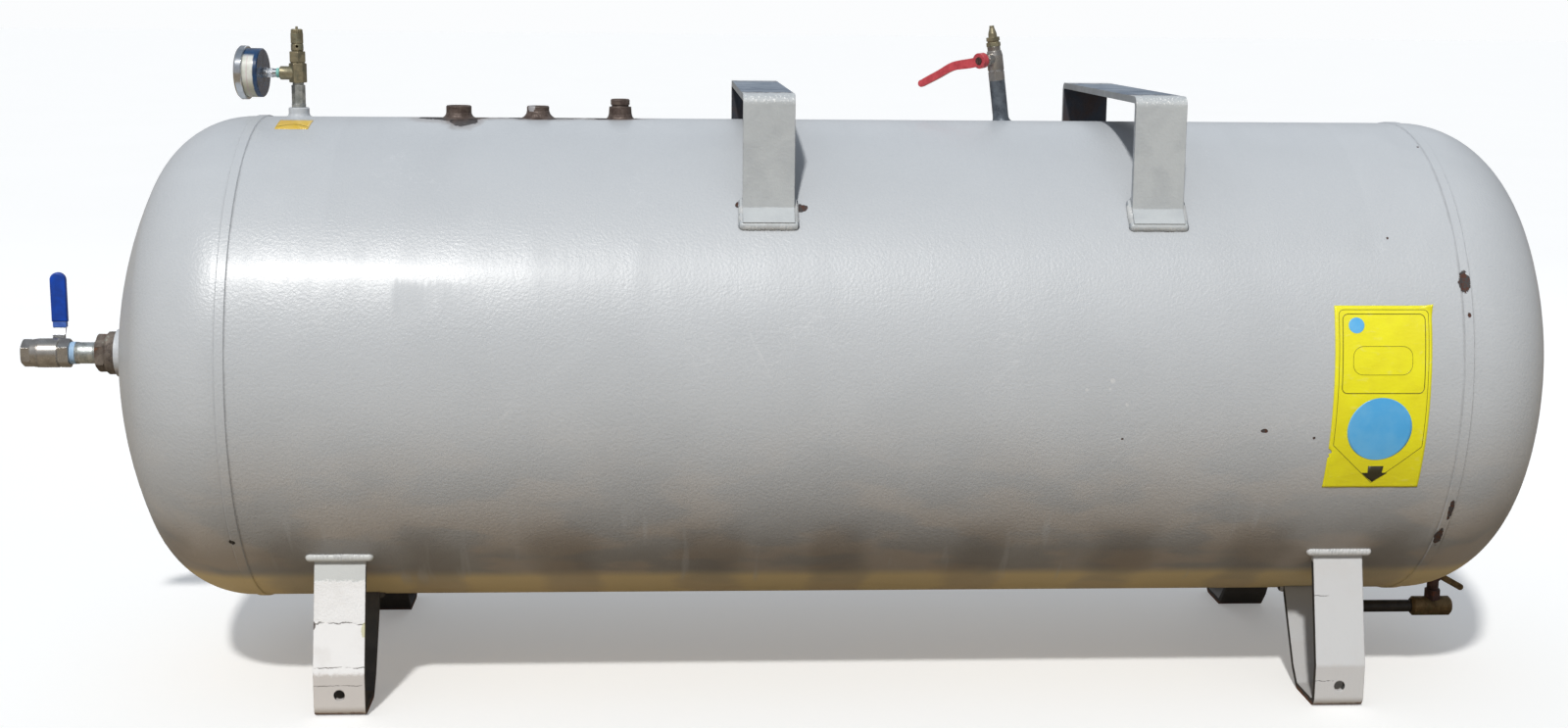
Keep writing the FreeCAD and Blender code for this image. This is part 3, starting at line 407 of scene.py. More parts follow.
    # the tell-tale hole is a near-black disc and a dent: painted shade stands in for its dark inside
    hole = flip(rise(vectorCalc("DISTANCE", out, s["hole"], out="Value"), s["holeR"], s["holeR"] * 1.15))
    heart = rise(noise(here, 260, 3), 0.42, 0.6)
    colour = over(colour, mixColour(heart, s["bare"], s["rust"]), chipped)
    colour = over(colour, (0.012, 0.011, 0.01, 1), hole)
    height = minus(skin["Peel"], both(either(chipped, hole), 1.6))
    normal = bump(height, s["peelDepth"], 1, bump(skin["Wave"], 0.0022, 1))
    rough = scaled(either(chipped, dustAndReflection), 0.4, rise(smudge, 0.3, 0.8, s["rough"] - 0.03, s["rough"] + 0.07))
    left, right, low, high = s["dull"]
    shaken = plus(angle, shake(7, stretch(around, 160, 9, 1), 1, 3))
    dull = both(rise(along, left - 0.004, left + 0.004), rise(along, right + 0.045, right - 0.012),
                rise(shaken, low - 6, low), rise(shaken, high + 1, high - 1), rise(smudge, 0.25, 0.55))
    rough = plus(rough, scaled(dull, 0.22, rise(along, -0.6, -0.2, 0, 0.06)))
    return closeMaterial(colour=colour, rough=mixValue(burnt, rough, 0.97), normal=normal,
                         coat=rise(burnt, 1, 0, 0, 0.12), coatRough=0.22)


# brushed paint of the feet
footSet = {
    "white": (0.92, 0.92, 0.92, 1), "paint": (0.665, 0.673, 0.68, 1), "old": rgb(208, 203, 199),
    # steel and steelWarm are bare steel tones, made dark to paint the shade on the straps' sides and inside
    "band": rgb(196, 200, 198), "steel": rgb(30, 31, 31), "steelWarm": rgb(46, 42, 40),
    "rust": rgb(120, 74, 48), "crack": rgb(112, 106, 104), "chip": rgb(206, 204, 160), "rough": 0.4,
    # feet from the middle, heights of kink, wrinkles and bead, then the legs' face and its lean
    "at": 0.598, "kink": 0.052, "wrinkle": (0.112, 0.157), "beadFrom": 0.172, "face": 0.252, "lean": 0.242,
    # cracks: height, on the left pair, from, to, half width, wander
    "cracks": [(0.1105, True, -1, 1, 0.0009, 0.012), (0.06, True, -1, 1, 0.0007, 0.007),
               (0.0385, True, -1, 1, 0.0004, 0.006), (0.134, False, -1, -0.012, 0.0005, 0.004),
               (0.033, False, -1, -0.008, 0.0005, 0.01)],
    # chip at the left pair's right edge and a nick opposite: along, up, reach along, reach up, rag
    "chipAt": (0.03, 0.102, 0.0045, 0.009, 1.3), "nickAt": (-0.0305, 0.108, 0.0028, 0.005, 0.8),
}


def footPaint():
    # thick white coat on the left pair, thinner grey on the right; bare steel at edges and inside, darkened
    # there as painted shade
    s = footSet
    here = openMaterial("foot_paint")
    along, back, up = split(here)
    nx, ny = split(facing())[:2]
    isLeft = calc("LESS_THAN", along, midX)
    local = minus(along, mixValue(isLeft, midX + s["at"], midX - s["at"]))
    brush = noise(stretch(here, 420, 420, 26), 1, 3, 0.6)
    clots = noise(here, 430, 5, 0.7)
    colour = mixColour(isLeft, s["paint"], s["white"])
    colour = over(colour, s["old"], rise(noise(here, 28, 4, 0.6), 0.45, 0.75, 0, 0.25))
    shaken = plus(up, shake(0.012, here, 170, 4, 0.65))
    low = rise(shaken, s["kink"] + 0.004, s["kink"] - 0.003, 0, 0.85)
    colour = over(colour, s["old"], low, mixValue(isLeft, 0.4, 1))
    wrinkleLow, wrinkleHigh = s["wrinkle"]
    band = rise(shaken, wrinkleHigh - 0.001, wrinkleHigh + 0.003)
    colour = over(colour, s["band"], band, isLeft, 0.75)
    cracks = 0
    for index, (height, left, start, end, half, wander) in enumerate(s["cracks"]):
        bend = shake(wander, here, 60 + 9 * index, 4, 0.65)
        away = absolute(plus(minus(up, height), bend))
        gaps = rise(noise(stretch(here, 1, 1, 0.2), 70 + 13 * index, 2), 0.36, 0.5)
        line = both(rise(away, half, half * 0.3), gaps, isLeft if left else flip(isLeft),
                    calc("GREATER_THAN", local, start), calc("LESS_THAN", local, end))
        cracks = either(line, cracks)
    inward = both(ny, calc("SIGN", back), -1)
    # depth behind the outer leg's face, which leans in above the kink
    lean = both(calc("MAXIMUM", minus(up, s["kink"]), 0), s["lean"])
    behind = rise(minus(minus(s["face"], lean), absolute(back)), 0.01, 0.013)
    outer = both(rise(inward, -0.3, -0.5), flip(behind))
    cracks = both(cracks, outer)
    colour = over(colour, s["crack"], cracks, 0.8)
    spot = put("ShaderNodeCombineXYZ", {"X": local, "Z": up}).outputs[0]
    chip, nick = [spotOf(spot, (x, 0, z), (wide, 1, tall), rag)["Mask"]
                  for x, z, wide, tall, rag in (s["chipAt"], s["nickAt"])]
    front = both(isLeft, outer, calc("LESS_THAN", back, 0))
    colour = over(colour, s["chip"], chip, front, 0.8)
    colour = over(colour, s["crack"], nick, front)
    # the strap's edges and inner face hardly took any paint; their dark steel tone also paints the shade on the
    # sides, the inner faces and the inner leg behind the front face, deepest on the left pair
    grit = shake(0.4, here, 130, 4, 0.6)
    edge = both(rise(plus(absolute(nx), grit), 0.55, 0.7), rise(up, s["beadFrom"] + 0.003, s["beadFrom"]))
    bare = either(edge, both(rise(plus(inward, grit), 0.3, 0.5), 0.9))
    # inner leg darkened as painted shade, almost fully on the left pair
    bare = either(bare, both(behind, mixValue(isLeft, 0.3, 0.96)))
    tone = mixColour(rise(noise(here, 90, 4), 0.4, 0.66), s["steel"], s["steelWarm"])
    colour = over(colour, tone, bare, 0.95)
    wear = wearOf(here, 0.0016, 120)
    colour = over(colour, s["steelWarm"], wear["Mask"], 0.35)
    rusty = rise(calc("DIVIDE", up, scaled(noise(here, 110, 3), 0.007, 0.0005)), 1.3, 0.7)
    colour = over(colour, s["rust"], rusty, 0.85)
    # darker in hollows: dirt and painted shade
    colour = over(colour, s["crack"], shadeAndDirtOf(here, 0.006), 0.3)
    zone = both(rise(shaken, wrinkleLow - 0.004, wrinkleLow + 0.006), flip(band), isLeft)
    height = plus(both(clots, scaled(zone, 1.5, 0.3)), scaled(brush, 0.25, both(cracks, -1.5)))
    return closeMaterial(colour=colour, rough=scaled(either(bare, rusty), 0.3, s["rough"]),
                         normal=bump(height, 0.0006, 0.9, wear["Normal"]), coat=0.05, coatRough=0.25)


beadSet = {"paint": rgb(204, 206, 206), "shade": rgb(184, 187, 188), "missed": rgb(84, 78, 76),
           "shadeAndDirt": rgb(96, 92, 92)}


def weldPaint():
    # painted weld bead: lumpy, with dark specks where the paint missed
    s = beadSet
    here = openMaterial("weld_paint")
    lumps = noise(here, 260, 4, 0.65)
    colour = over(s["paint"], s["shade"], rise(noise(here, 60, 3), 0.4, 0.7))
    colour = over(colour, s["missed"], dotsOf(here, 210, 0.16, 0.12), 0.55)
    # darker in the bead's hollows: dirt and painted shade
    colour = over(colour, s["shadeAndDirt"], shadeAndDirtOf(here, 0.004, 220), 0.5)
    return closeMaterial(colour=colour, rough=rise(lumps, 0.3, 0.7, 0.3, 0.45),
                         normal=bump(lumps, 0.0007, 0.9))


# flat bar of the brackets: painted legs, bare top
bracketSet = {
    "paint": rgb(196, 201, 203), "paintDark": rgb(184, 189, 192), "steel": rgb(134, 147, 162),
    # side: dark tone of the inner faces, underside and right edge, painted shade over bare steel
    "steelDark": rgb(106, 119, 136), "side": rgb(54, 60, 70), "brown": rgb(74, 60, 56),
    "glintFleck": rgb(246, 247, 246), "half": 0.2243, "lineAt": 0.046, "lineRag": 0.09,
}


def bracketSteel():
    # paint on the legs' outer faces stops raggedly behind the bend; the top plate is bare, and the inside,
    # underside and right edge are bare steel darkened as painted shade
    s = bracketSet
    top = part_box("left_bracket")[1].z
    here = openMaterial("bracket_steel")
    back, up = split(here)[1:]
    nx, ny, nz = split(facing())
    grain = useGroup(metalGrain, Vector=here, Fine=700, Cloud=24)
    clouds = grain["Clouds"]
    depth = absolute(back)
    rag = shake(s["lineRag"], stretch(here, 1, 0.4, 1), 110, 5, 0.7)
    past = minus(s["half"] - s["lineAt"], plus(depth, rag))
    topFace = rise(nz, 0.5, 0.8)
    # right edge fully and left edge partly darkened: painted shade, light falling from the left
    edge = either(rise(nx, 0.6, 0.75), both(rise(nx, -0.6, -0.75), 0.45))
    inward = rise(both(ny, calc("SIGN", back), -1), 0.3, 0.5)
    under = both(rise(nz, -0.35, -0.6), rise(up, top - 0.03, top - 0.02))
    plate = both(topFace, rise(past, 0, 0.0008))
    shaded = either(edge, inward, under)
    paint = over(s["paint"], s["paintDark"], rise(clouds, 0.35, 0.7))
    runs = noise(stretch(here, 90, 90, 8), 1, 3)
    paint = over(paint, s["paintDark"], rise(runs, 0.55, 0.8, 0, 0.25))
    # painted glints: near-white flecks along the top bend where the rough paint catches the light; they also
    # roughen its relief
    bend = both(rise(up, top - 0.013, top - 0.006), rise(depth, s["half"] - 0.012, s["half"] - 0.006))
    glintFlecks = noise(here, 420, 3, 0.7)
    paint = over(paint, s["glintFleck"], bend, rise(glintFlecks, 0.55, 0.62), 0.85)
    steel = over(s["steel"], s["steelDark"], rise(clouds, 0.38, 0.66))
    steel = over(steel, s["brown"], dotsOf(here, 60, 0.14, 0.25), 0.4)
    # painted shade on the inner faces, underside and edges
    steel = over(steel, mixColour(rise(clouds, 0.4, 0.7), s["side"], s["brown"]), shaded)
    steel = over(steel, s["side"], grain["Pits"], 0.5)
    bare = either(plate, shaded)
    colour = over(paint, steel, bare)
    burr = both(rise(absolute(past), 0.0085, 0.004), topFace)
    colour = over(colour, s["brown"], burr, 0.75)
    wear = wearOf(here, 0.0014, 150)
    colour = over(colour, s["side"], wear["Mask"], flip(bare), 0.25)
    # darker in hollows: dirt and painted shade
    colour = over(colour, s["brown"], shadeAndDirtOf(here, 0.008), 0.3)
    peel = useGroup(paintSkin, Vector=here)["Peel"]
    height = plus(both(glintFlecks, scaled(bend, 2.2, 0.2)), mixValue(bare, peel, grain["Grain"]))
    height = scaled(burr, 1.6, scaled(bare, -0.6, height))
    return closeMaterial(colour=colour, rough=mixValue(bare, 0.38, rise(clouds, 0.3, 0.7, 0.42, 0.6)),
                         metal=both(bare, 0.25), normal=bump(height, 0.00035, 0.9, wear["Normal"]))


# bare and plated metals: bright, dull, grime, rust and rubbed tones, then the share of rust, metal, roughness
# from and to, scale of the grain and of the clouds, depth of the relief and radius of the rubbed edges
metalSets = {
    "socket_steel": ((112, 98, 90), (80, 66, 60), (46, 36, 34), (96, 62, 48), (150, 138, 130),
                     0.3, 0.35, 0.38, 0.58, 800, 120, 0.0002, 0.0012),
    "dark_iron": ((132, 122, 112), (88, 78, 72), (48, 42, 40), (128, 86, 62), (162, 150, 138),
                  0.5, 0.3, 0.5, 0.75, 620, 55, 0.0004, 0.0014),
    "galvanised": ((206, 210, 208), (150, 155, 152), (94, 90, 84), (150, 116, 84), (226, 228, 226),
                   0.16, 0.85, 0.3, 0.5, 900, 120, 0.00012, 0.001),
    "nickel": ((190, 186, 180), (158, 152, 146), (104, 94, 84), (142, 118, 84), (244, 242, 236),
               0.05, 0.9, 0.26, 0.34, 1300, 50, 0.00004, 0.0008),
    "zinc_steel": ((188, 190, 192), (150, 152, 156), (112, 108, 102), (150, 112, 76), (240, 240, 240),
                   0.12, 0.9, 0.26, 0.42, 1100, 90, 0.00007, 0.0007),
    "brass": ((168, 158, 130), (130, 125, 104), (70, 64, 48), (112, 114, 94), (206, 190, 150),
              0.5, 0.7, 0.32, 0.52, 1000, 95, 0.00012, 0.0009),
    "old_brass": ((130, 108, 74), (94, 78, 52), (44, 34, 22), (96, 92, 56), (168, 134, 84),
                  0.5, 0.6, 0.42, 0.68, 800, 80, 0.0002, 0.0012),
    "gauge_steel": ((228, 230, 232), (206, 208, 212), (130, 128, 124), (150, 130, 100), (246, 246, 246),
                    0.06, 1, 0.1, 0.2, 1500, 60, 0.00003, 0.0006),
    "riser_steel": ((112, 120, 128), (76, 82, 90), (40, 38, 38), (104, 66, 48), (150, 156, 162),
                    0.34, 0.45, 0.38, 0.55, 760, 60, 0.0002, 0.001),
    "drain_iron": ((92, 66, 62), (62, 44, 44), (32, 24, 22), (124, 66, 40), (130, 104, 92),
                   0.6, 0.25, 0.5, 0.78, 640, 70, 0.0004, 0.0012),
}
# a dab of the tank's paint: centre from the tank's middle, reach; turning marks: scale along each axis
paintDab = {"socket_steel": ((-0.3815, -0.0118, 0.3135), (0.0062, 0.006, 0.0052)), "tone": rgb(196, 194, 196)}
latheMarks = {"socket_steel": (4, 4, 900), "nickel": (1400, 4, 4)}
paleStain = {"dark_iron": rgb(176, 190, 176)}


def metalFinish(slot):
    # clouds between a bright and a dull tone, rust in patches, grime and painted shade in hollows, rubbed edges
    tones, values = metalSets[slot][:5], metalSets[slot][5:]
    bright, dull, grime, rust, rubbed = [rgb(*tone) for tone in tones]
    rustShare, metal, roughLow, roughHigh, fine, cloud, depth, edge = values
    here = openMaterial(slot)
    grain = useGroup(metalGrain, Vector=here, Fine=fine, Cloud=cloud)
    colour = over(bright, dull, rise(grain["Clouds"], 0.34, 0.68))
    colour = over(colour, grime, rise(grain["Grain"], 0.5, 0.8, 0, 0.3))
    rusty = rise(noise(here, cloud * 0.6, 5, 0.65, 0.6), 0.68 - 0.3 * rustShare, 0.8 - 0.3 * rustShare)
    colour = over(colour, rust, rusty, 0.8)
    colour = over(colour, grime, grain["Pits"], 0.5)
    if slot in paintDab:
        dab = spotOf(vectorCalc("SUBTRACT", here, (midX, 0, axisZ)), *paintDab[slot], 0.7, 260)
        colour = over(colour, paintDab["tone"], dab["Mask"], 0.9)
    if slot in paleStain:
        stain = rise(noise(stretch(here, 1, 1, 0.35), 85, 4, 0.6), 0.56, 0.66)
        colour = over(colour, paleStain[slot], stain, 0.55)
    wear = wearOf(here, edge, 240)
    colour = over(colour, rubbed, wear["Mask"], 0.7)
    # grime and painted shade in hollows
    shadeAndDirt = shadeAndDirtOf(here, 0.006, 160)
    colour = over(colour, grime, shadeAndDirt, 0.6)
    height = minus(grain["Grain"], both(grain["Pits"], 0.9))
    if slot in latheMarks:
        height = scaled(noise(stretch(here, *latheMarks[slot]), 1, 2), 0.6, height)
    worn = either(rusty, shadeAndDirt)
    rough = calc("MULTIPLY_ADD", worn, 0.25, rise(grain["Clouds"], 0.3, 0.7, roughLow, roughHigh), clamp=True)
    return closeMaterial(colour=colour, rough=rough, metal=both(scaled(worn, -0.75, 1), metal),
                         normal=bump(height, depth, 0.9, wear["Normal"]))


# plastics and enamel: main, other, worn and dust tones (the dust tone also paints the shade in hollows),
# then roughness, scale, depth of the relief, coat and radius of the rubbed edges
coatSets = {
    "blue_grip": ((0, 74, 190), (4, 62, 158), (70, 120, 196), (24, 28, 40), 0.4, 60, 0.00012, 0.05, 0.0016),
    "light_blue": ((82, 122, 206), (60, 98, 184), (150, 176, 224), (52, 60, 86),
                   0.4, 80, 0.00015, 0.15, 0.001),
    "red_lever": ((212, 82, 90), (186, 62, 72), (222, 150, 150), (62, 26, 28),
                  0.32, 90, 0.0003, 0.35, 0.0014),
    "black_pipe": ((54, 50, 47), (40, 37, 35), (82, 76, 70), (74, 62, 48), 0.45, 70, 0.00012, 0, 0.001),
    "needle": ((26, 26, 27), (18, 18, 19), (60, 60, 62), (30, 28, 26), 0.5, 200, 0.00003, 0, 0.0003),
}


def coatFinish(slot):
    # two tones of one coating, rubbed pale at its edges, with dust and painted shade in its hollows
    main, other, worn, dust = [rgb(*tone) for tone in coatSets[slot][:4]]
    rough, scale, depth, coat, edge = coatSets[slot][4:]
    here = openMaterial(slot)
    tone = noise(here, scale, 4, 0.6, 0.3)
    fine = noise(here, 900, 3, 0.6)
    colour = over(main, other, rise(tone, 0.35, 0.68))
    wear = wearOf(here, edge, 260)
    colour = over(colour, worn, wear["Mask"], 0.45)
    marks = dotsOf(here, 170, 0.12, 0.16)
    colour = over(colour, worn, marks, 0.5)
    # dust and painted shade in hollows
    shadeAndDirt = shadeAndDirtOf(here, 0.005, 200)
    colour = over(colour, dust, shadeAndDirt, 0.6)
    rough = scaled(either(marks, shadeAndDirt), 0.3, rise(tone, 0.3, 0.7, rough - 0.05, rough + 0.08))
    return closeMaterial(colour=colour, rough=rough, coat=coat, coatRough=0.15,
                         normal=bump(scaled(fine, 0.35, tone), depth, 0.9, wear["Normal"]))


# thread tapes: deep and main tones
tapeSets = {"tape_blue": ((140, 182, 222), (186, 214, 240)), "tape_green": ((104, 178, 172), (160, 226, 216))}


def tapeFinish(slot):
    # thread tape: overlapping turns across the pipe, creased
    here = openMaterial(slot)
    creases = noise(stretch(here, 1, 0.35, 0.35), 900, 3, 0.6, 0.8)
    turns = put("ShaderNodeTexWave", {"Vector": here, "Scale": 190, "Distortion": 2.5, "Detail": 2},
                bands_direction="X").outputs["Fac"]
    deep, main = [rgb(*tone) for tone in tapeSets[slot]]
    colour = over(deep, main, rise(turns, 0.25, 0.8))
    colour = over(colour, rgb(236, 246, 246), rise(creases, 0.55, 0.75, 0, 0.5))
    return closeMaterial(colour=colour, rough=rise(creases, 0.3, 0.7, 0.35, 0.55),
                         normal=bump(plus(turns, creases), 0.00025, 0.9))


# gauge: centre of its face and the way it looks, from the tee's branch to the rim
gaugeCentre = middle("gauge_bezel")
gaugeWay = (gaugeCentre - middle("gauge_stem")).normalized()
caseSet = {
    # pale, dimmer and below paint a reflection round the case's side; below is the ground's warm reflection
    "dark": rgb(24, 68, 112), "darker": rgb(22, 46, 78), "pale": rgb(232, 233, 228),
    "reflectionDimmer": rgb(212, 214, 204), "reflectedGround": rgb(186, 182, 160), "stripe": rgb(196, 150, 170),
    "worn": rgb(120, 124, 132), "shadeAndDirt": rgb(40, 38, 38),
}


def gaugeCase():
    # lacquered case: dark crown and back; a painted reflection gives the pale band round its side, warmer below
    s = caseSet
    here = openMaterial("gauge_case")
    centre, way = tuple(gaugeCentre), tuple(gaugeWay)
    reach = vectorCalc("DOT_PRODUCT", vectorCalc("SUBTRACT", here, centre), way, out="Value")
    normal = facing()
    side = rise(absolute(vectorCalc("DOT_PRODUCT", normal, way, out="Value")), 0.5, 0.3)
    high = split(normal)[2]
    grain = useGroup(metalGrain, Vector=here, Fine=900, Cloud=90)
    clouds = grain["Clouds"]
    dark = over(s["dark"], s["darker"], rise(clouds, 0.35, 0.7))
    pale = over(s["pale"], s["reflectionDimmer"], rise(clouds, 0.35, 0.7))
    # warmer where the side faces down: painted reflection of the ground
    pale = over(pale, s["reflectedGround"], rise(high, -0.05, -0.6))
    rag = shake(0.0016, here, 160, 3)
    # pale band round the side: painted reflection
    reflectionBand = both(side, rise(plus(reach, rag), -0.0185, -0.017), rise(scaled(rag, 60, high), 0.82, 0.62))
    colour = over(dark, pale, reflectionBand)
    stripe = both(reflectionBand, rise(absolute(plus(reach, 0.0105)), 0.0009, 0.0004))
    colour = over(colour, s["stripe"], stripe, 0.35)
    wear = wearOf(here, 0.0009, 240)
    colour = over(colour, s["worn"], wear["Mask"], 0.3)
    # darker in hollows: dirt and painted shade
    colour = over(colour, s["shadeAndDirt"], shadeAndDirtOf(here, 0.005, 180), 0.5)
    relief = bump(scaled(reflectionBand, 1.2, grain["Grain"]), 0.0001, 0.8, wear["Normal"])
    return closeMaterial(colour=colour, rough=rise(clouds, 0.3, 0.7, 0.22, 0.36), normal=relief, coat=0.4,
                         coatRough=0.12)


def dialFace():
    # enamelled white plate, yellowed and dusty towards its rim
    here = openMaterial("dial")
    away = vectorCalc("DISTANCE", here, tuple(gaugeCentre), out="Value")
    cloud = noise(here, 160, 4, 0.6)
    plate = mixColour(cloud, rgb(240, 240, 234), rgb(230, 230, 222))
    colour = over(plate, rgb(196, 186, 160), rise(away, 0.017, 0.03), scaled(cloud, 0.5, 0.2))
    return closeMaterial(colour=colour, rough=rise(cloud, 0.3, 0.7, 0.35, 0.5),
                         normal=bump(noise(here, 2200, 2), 0.00002))


def glassPane():
    # clear pane with a thin film of dust at its edge
    here = openMaterial("glass")
    away = vectorCalc("DISTANCE", here, tuple(gaugeCentre), out="Value")
    dust = both(rise(away, 0.02, 0.031), noise(here, 240, 4))
    return closeMaterial(colour=mixColour(dust, (0.97, 0.99, 0.985, 1), rgb(190, 184, 170)),
                         rough=scaled(dust, 0.3, 0.015), clear=1, ior=1.46)


# printed plastic films: main, faded and worn tones
sheetSets = {
    "label_yellow": ((253, 247, 34), (246, 237, 34), (250, 248, 190)),
    "sticker_amber": ((240, 200, 62), (226, 184, 52), (250, 232, 170)),
    "print_blue": ((88, 184, 246), (110, 194, 248), (190, 220, 244)),
    "print_dark": ((84, 78, 20), (110, 104, 30), (170, 160, 60)),
    "print_black": ((38, 34, 18), (52, 48, 26), (90, 84, 40)),
}


def sheetFinish(name):
    # faded in patches, scuffed, and slightly wavy where it isn't ink
    main, faded, worn = [rgb(*tone) for tone in sheetSets[name]]
    here = openMaterial(name)
    cloud = noise(here, 22, 4, 0.6)
    fine = noise(here, 700, 3, 0.6)
    colour = over(main, faded, rise(cloud, 0.38, 0.68))
    colour = over(colour, worn, useGroup(scratches, Vector=here, Scale=9)["Mask"], 0.5)
    if not name.startswith("print"):
        wrinkles = noise(stretch(here, 1, 1, 2.5), 55, 3, 0.5, 0.8)
        colour = over(colour, worn, rise(wrinkles, 0.6, 0.72), 0.12)
        fine = scaled(wrinkles, 6, fine)
    return closeMaterial(colour=colour, rough=rise(cloud, 0.3, 0.7, 0.3, 0.42), normal=bump(fine, 0.00006),
                         coat=0.25, coatRough=0.12)


materials = {"tank_paint": tankPaint(), "foot_paint": footPaint(), "bracket_steel": bracketSteel(),
             "gauge_case": gaugeCase(), "dial": dialFace(), "glass": glassPane(), "weld_paint": weldPaint()}
for finish, slots in ((metalFinish, metalSets), (coatFinish, coatSets), (tapeFinish, tapeSets),
                      (sheetFinish, sheetSets)):
    materials.update({slot: finish(slot) for slot in slots})
nodeSlots = {part["node"]: part["material_slot"] for part in frame["record"]["subparts"]}
otherFinish = {"red_stem": "drain_iron"}  # its screw head has gone dark
for nodeName, node in frame["nodes"].items():
    node.data.materials.clear()
    node.data.materials.append(materials[otherFinish.get(nodeName, nodeSlots[nodeName])])
print("materials built:", len(materials))


# shapes from grids
def addPiece(name, points, faces, slot, material=None, smooth=True):
    # one mesh at the origin that rides on the tank
    mesh = bpy.data.meshes.new(name)
    mesh.from_pydata(np.asarray(points, float).tolist(), [], faces)
    mesh.update()
    mesh.materials.append(materials[material or slot])
    mesh.polygons.foreach_set("use_smooth", np.full(len(mesh.polygons), smooth))
    piece = bpy.data.objects.new(name, mesh)
    scene.collection.objects.link(piece)
    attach(piece, "tank")


def unit(vectors):
    return vectors / np.maximum(np.linalg.norm(vectors, axis=-1, keepdims=True), 1e-9)


def fromAxis(points):
    # unit vectors that point away from the tank's axis
    return unit((points - np.array([0, 0, axisZ])) * (0, 1, 1))


def onShell(along, angle, lift=0):
    # point on the shell: angle in degrees, 0 at the front and 90 at the crest
    along, turn, r = np.broadcast_arrays(along, np.radians(angle), shellR + lift)
    return np.stack([midX + along, -r * np.cos(turn), axisZ + r * np.sin(turn)], -1)


def gridFaces(rows, columns, closedAcross=False):
    # quads of a rows x columns grid of points, joined back to the first column when closed across
    r, c = np.meshgrid(np.arange(rows - 1), np.arange(columns - (not closedAcross)), indexing="ij")
    following = (c + 1) % columns
    quads = [r * columns + c, r * columns + following, (r + 1) * columns + following, (r + 1) * columns + c]
    return np.stack(quads, -1).reshape(-1, 4).tolist()


def joined(parts):
    # several (points, faces) as one
    allFaces, count = [], 0
    for points, faces in parts:
        allFaces += [[index + count for index in face] for face in faces]
        count += len(points)
    return np.concatenate([points for points, faces in parts]), allFaces


def outward(points, faces):
    # turns a closed shape's faces round where its volume comes out negative
    triangles = np.array([[f[0], f[k], f[k + 1]] for f in faces for k in range(1, len(f) - 1)])
    a, b, c = (points[triangles[:, k]] for k in range(3))
    if np.einsum("ij,ij->i", a - points.mean(0), np.cross(b - a, c - a)).sum() < 0:
        faces = [list(face)[::-1] for face in faces]
    return points, faces


def cappedTube(rings):
    # tube through rings of points, a grid of rows x columns, with a flat face at each end
    rows, columns = rings.shape[:2]
    caps = [list(range(columns))[::-1], list(range((rows - 1) * columns, rows * columns))]
    return outward(rings.reshape(-1, 3), gridFaces(rows, columns, True) + caps)


def closedTube(rings):
    # tube through rings of points whose last ring is the first again
    rows, columns = rings.shape[:2]
    faces = np.array(gridFaces(rows, columns, True)) % ((rows - 1) * columns)
    return outward(rings[:-1].reshape(-1, 3), faces.tolist())


def beadAlong(path, radius, upHint, pitch, seed, sides=14, loop=False, flat=0.75):
    # weld bead: a round section carried along a path; its radius swells by a ripple every pitch
    # and by slow noise, and closes to a point at both ends: r(s) = radius (1 + ripple + noise) end(s)
    random = np.random.default_rng(seed)
    if loop:
        path = np.concatenate([path, path[:1]])
    steps = np.concatenate([[0], np.cumsum(np.linalg.norm(np.diff(path, axis=0), axis=1))])
    total = steps[-1]
    count = max(int(total / pitch * 7), 24)
    at = np.linspace(0, total, count)
    line, hint = [np.stack([np.interp(at, steps, values[:, k]) for k in range(3)], 1)
                  for values in (path, np.broadcast_to(upHint, path.shape))]
    tangent = unit(np.gradient(line, axis=0))
    side = unit(np.cross(tangent, hint))
    up = np.cross(side, tangent)
    knots = random.uniform(-1, 1, max(int(total / (pitch * 2.2)), 4))
    slow = np.interp(np.linspace(0, len(knots) - 1, count), np.arange(len(knots)), knots)
    if loop:
        slow = slow * np.sin(np.pi * at / total) ** 0.3
    ripple = 0.028 * np.cos(2 * np.pi * at / pitch + slow * 0.8) + 0.05 * slow
    nearEnd = (1 - np.minimum(at, total - at) / radius).clip(0)
    ends = np.ones(count) if loop else np.sqrt(np.clip(1 - nearEnd ** 2, 1e-4, 1))
    lumps = 0.05 * random.standard_normal((count, sides))
    for shift in (1, 2):  # smoothed along and across
        lumps = (lumps + np.roll(lumps, shift, 0) + np.roll(lumps, -shift, 0)) / 3
    lumps = 1 + lumps + 0.5 * (np.roll(lumps, 1, 1) + np.roll(lumps, -1, 1))
    reach = ((radius * (1 + ripple) * ends)[:, None] * lumps)[..., None]
    turn = np.linspace(0, 2 * np.pi, sides, endpoint=False)[None, :, None]
    rings = line[:, None] + reach * (np.cos(turn) * side[:, None] + flat * np.sin(turn) * up[:, None])
    return closedTube(rings) if loop else cappedTube(rings)


# weld beads: angles in degrees from the front, lengths in metres
weldSet = {
    "footRoot": 43.5, "frontUp": 0.0046, "footBack": 69, "backUp": 0.0052, "footRise": 0.0005,
    "footOut": 0.0091, "overhang": 0.004, "flangeLength": 0.028, "bracketRise": 0.0015, "barHalf": 0.03,
    "barThick": 0.008, "beadR": 0.0052, "footPitch": 0.0042, "bracketPitch": 0.004,
}


def footWelds():
    # one bead across the top of each foot's strap, front and back
    w = weldSet
    front = math.degrees(w["frontUp"] / shellR) - w["footRoot"]
    rear = -w["footBack"] - math.degrees(w["backUp"] / shellR)
    for name, side in (("front_left", 1), ("front_right", 1), ("back_left", -1), ("back_right", -1)):
        centre = middle(name + "_foot").x - midX
        parts = []
        for angle, swell, beyond in ((front, 1.05, w["footOut"]), (rear, 1.12, w["overhang"])):
            r, reach = w["beadR"] * swell, w["barHalf"] + beyond
            path = onShell(centre + np.linspace(-reach, reach, 9), angle, w["footRise"]) * (1, side, 1)
            seed = len(name) + int(r * 1e5)
            parts.append(beadAlong(path, r, fromAxis(path[0]), w["footPitch"], seed, flat=0.97))
        addPiece(name + "_foot_weld", *joined(parts), "foot_paint", "weld_paint")


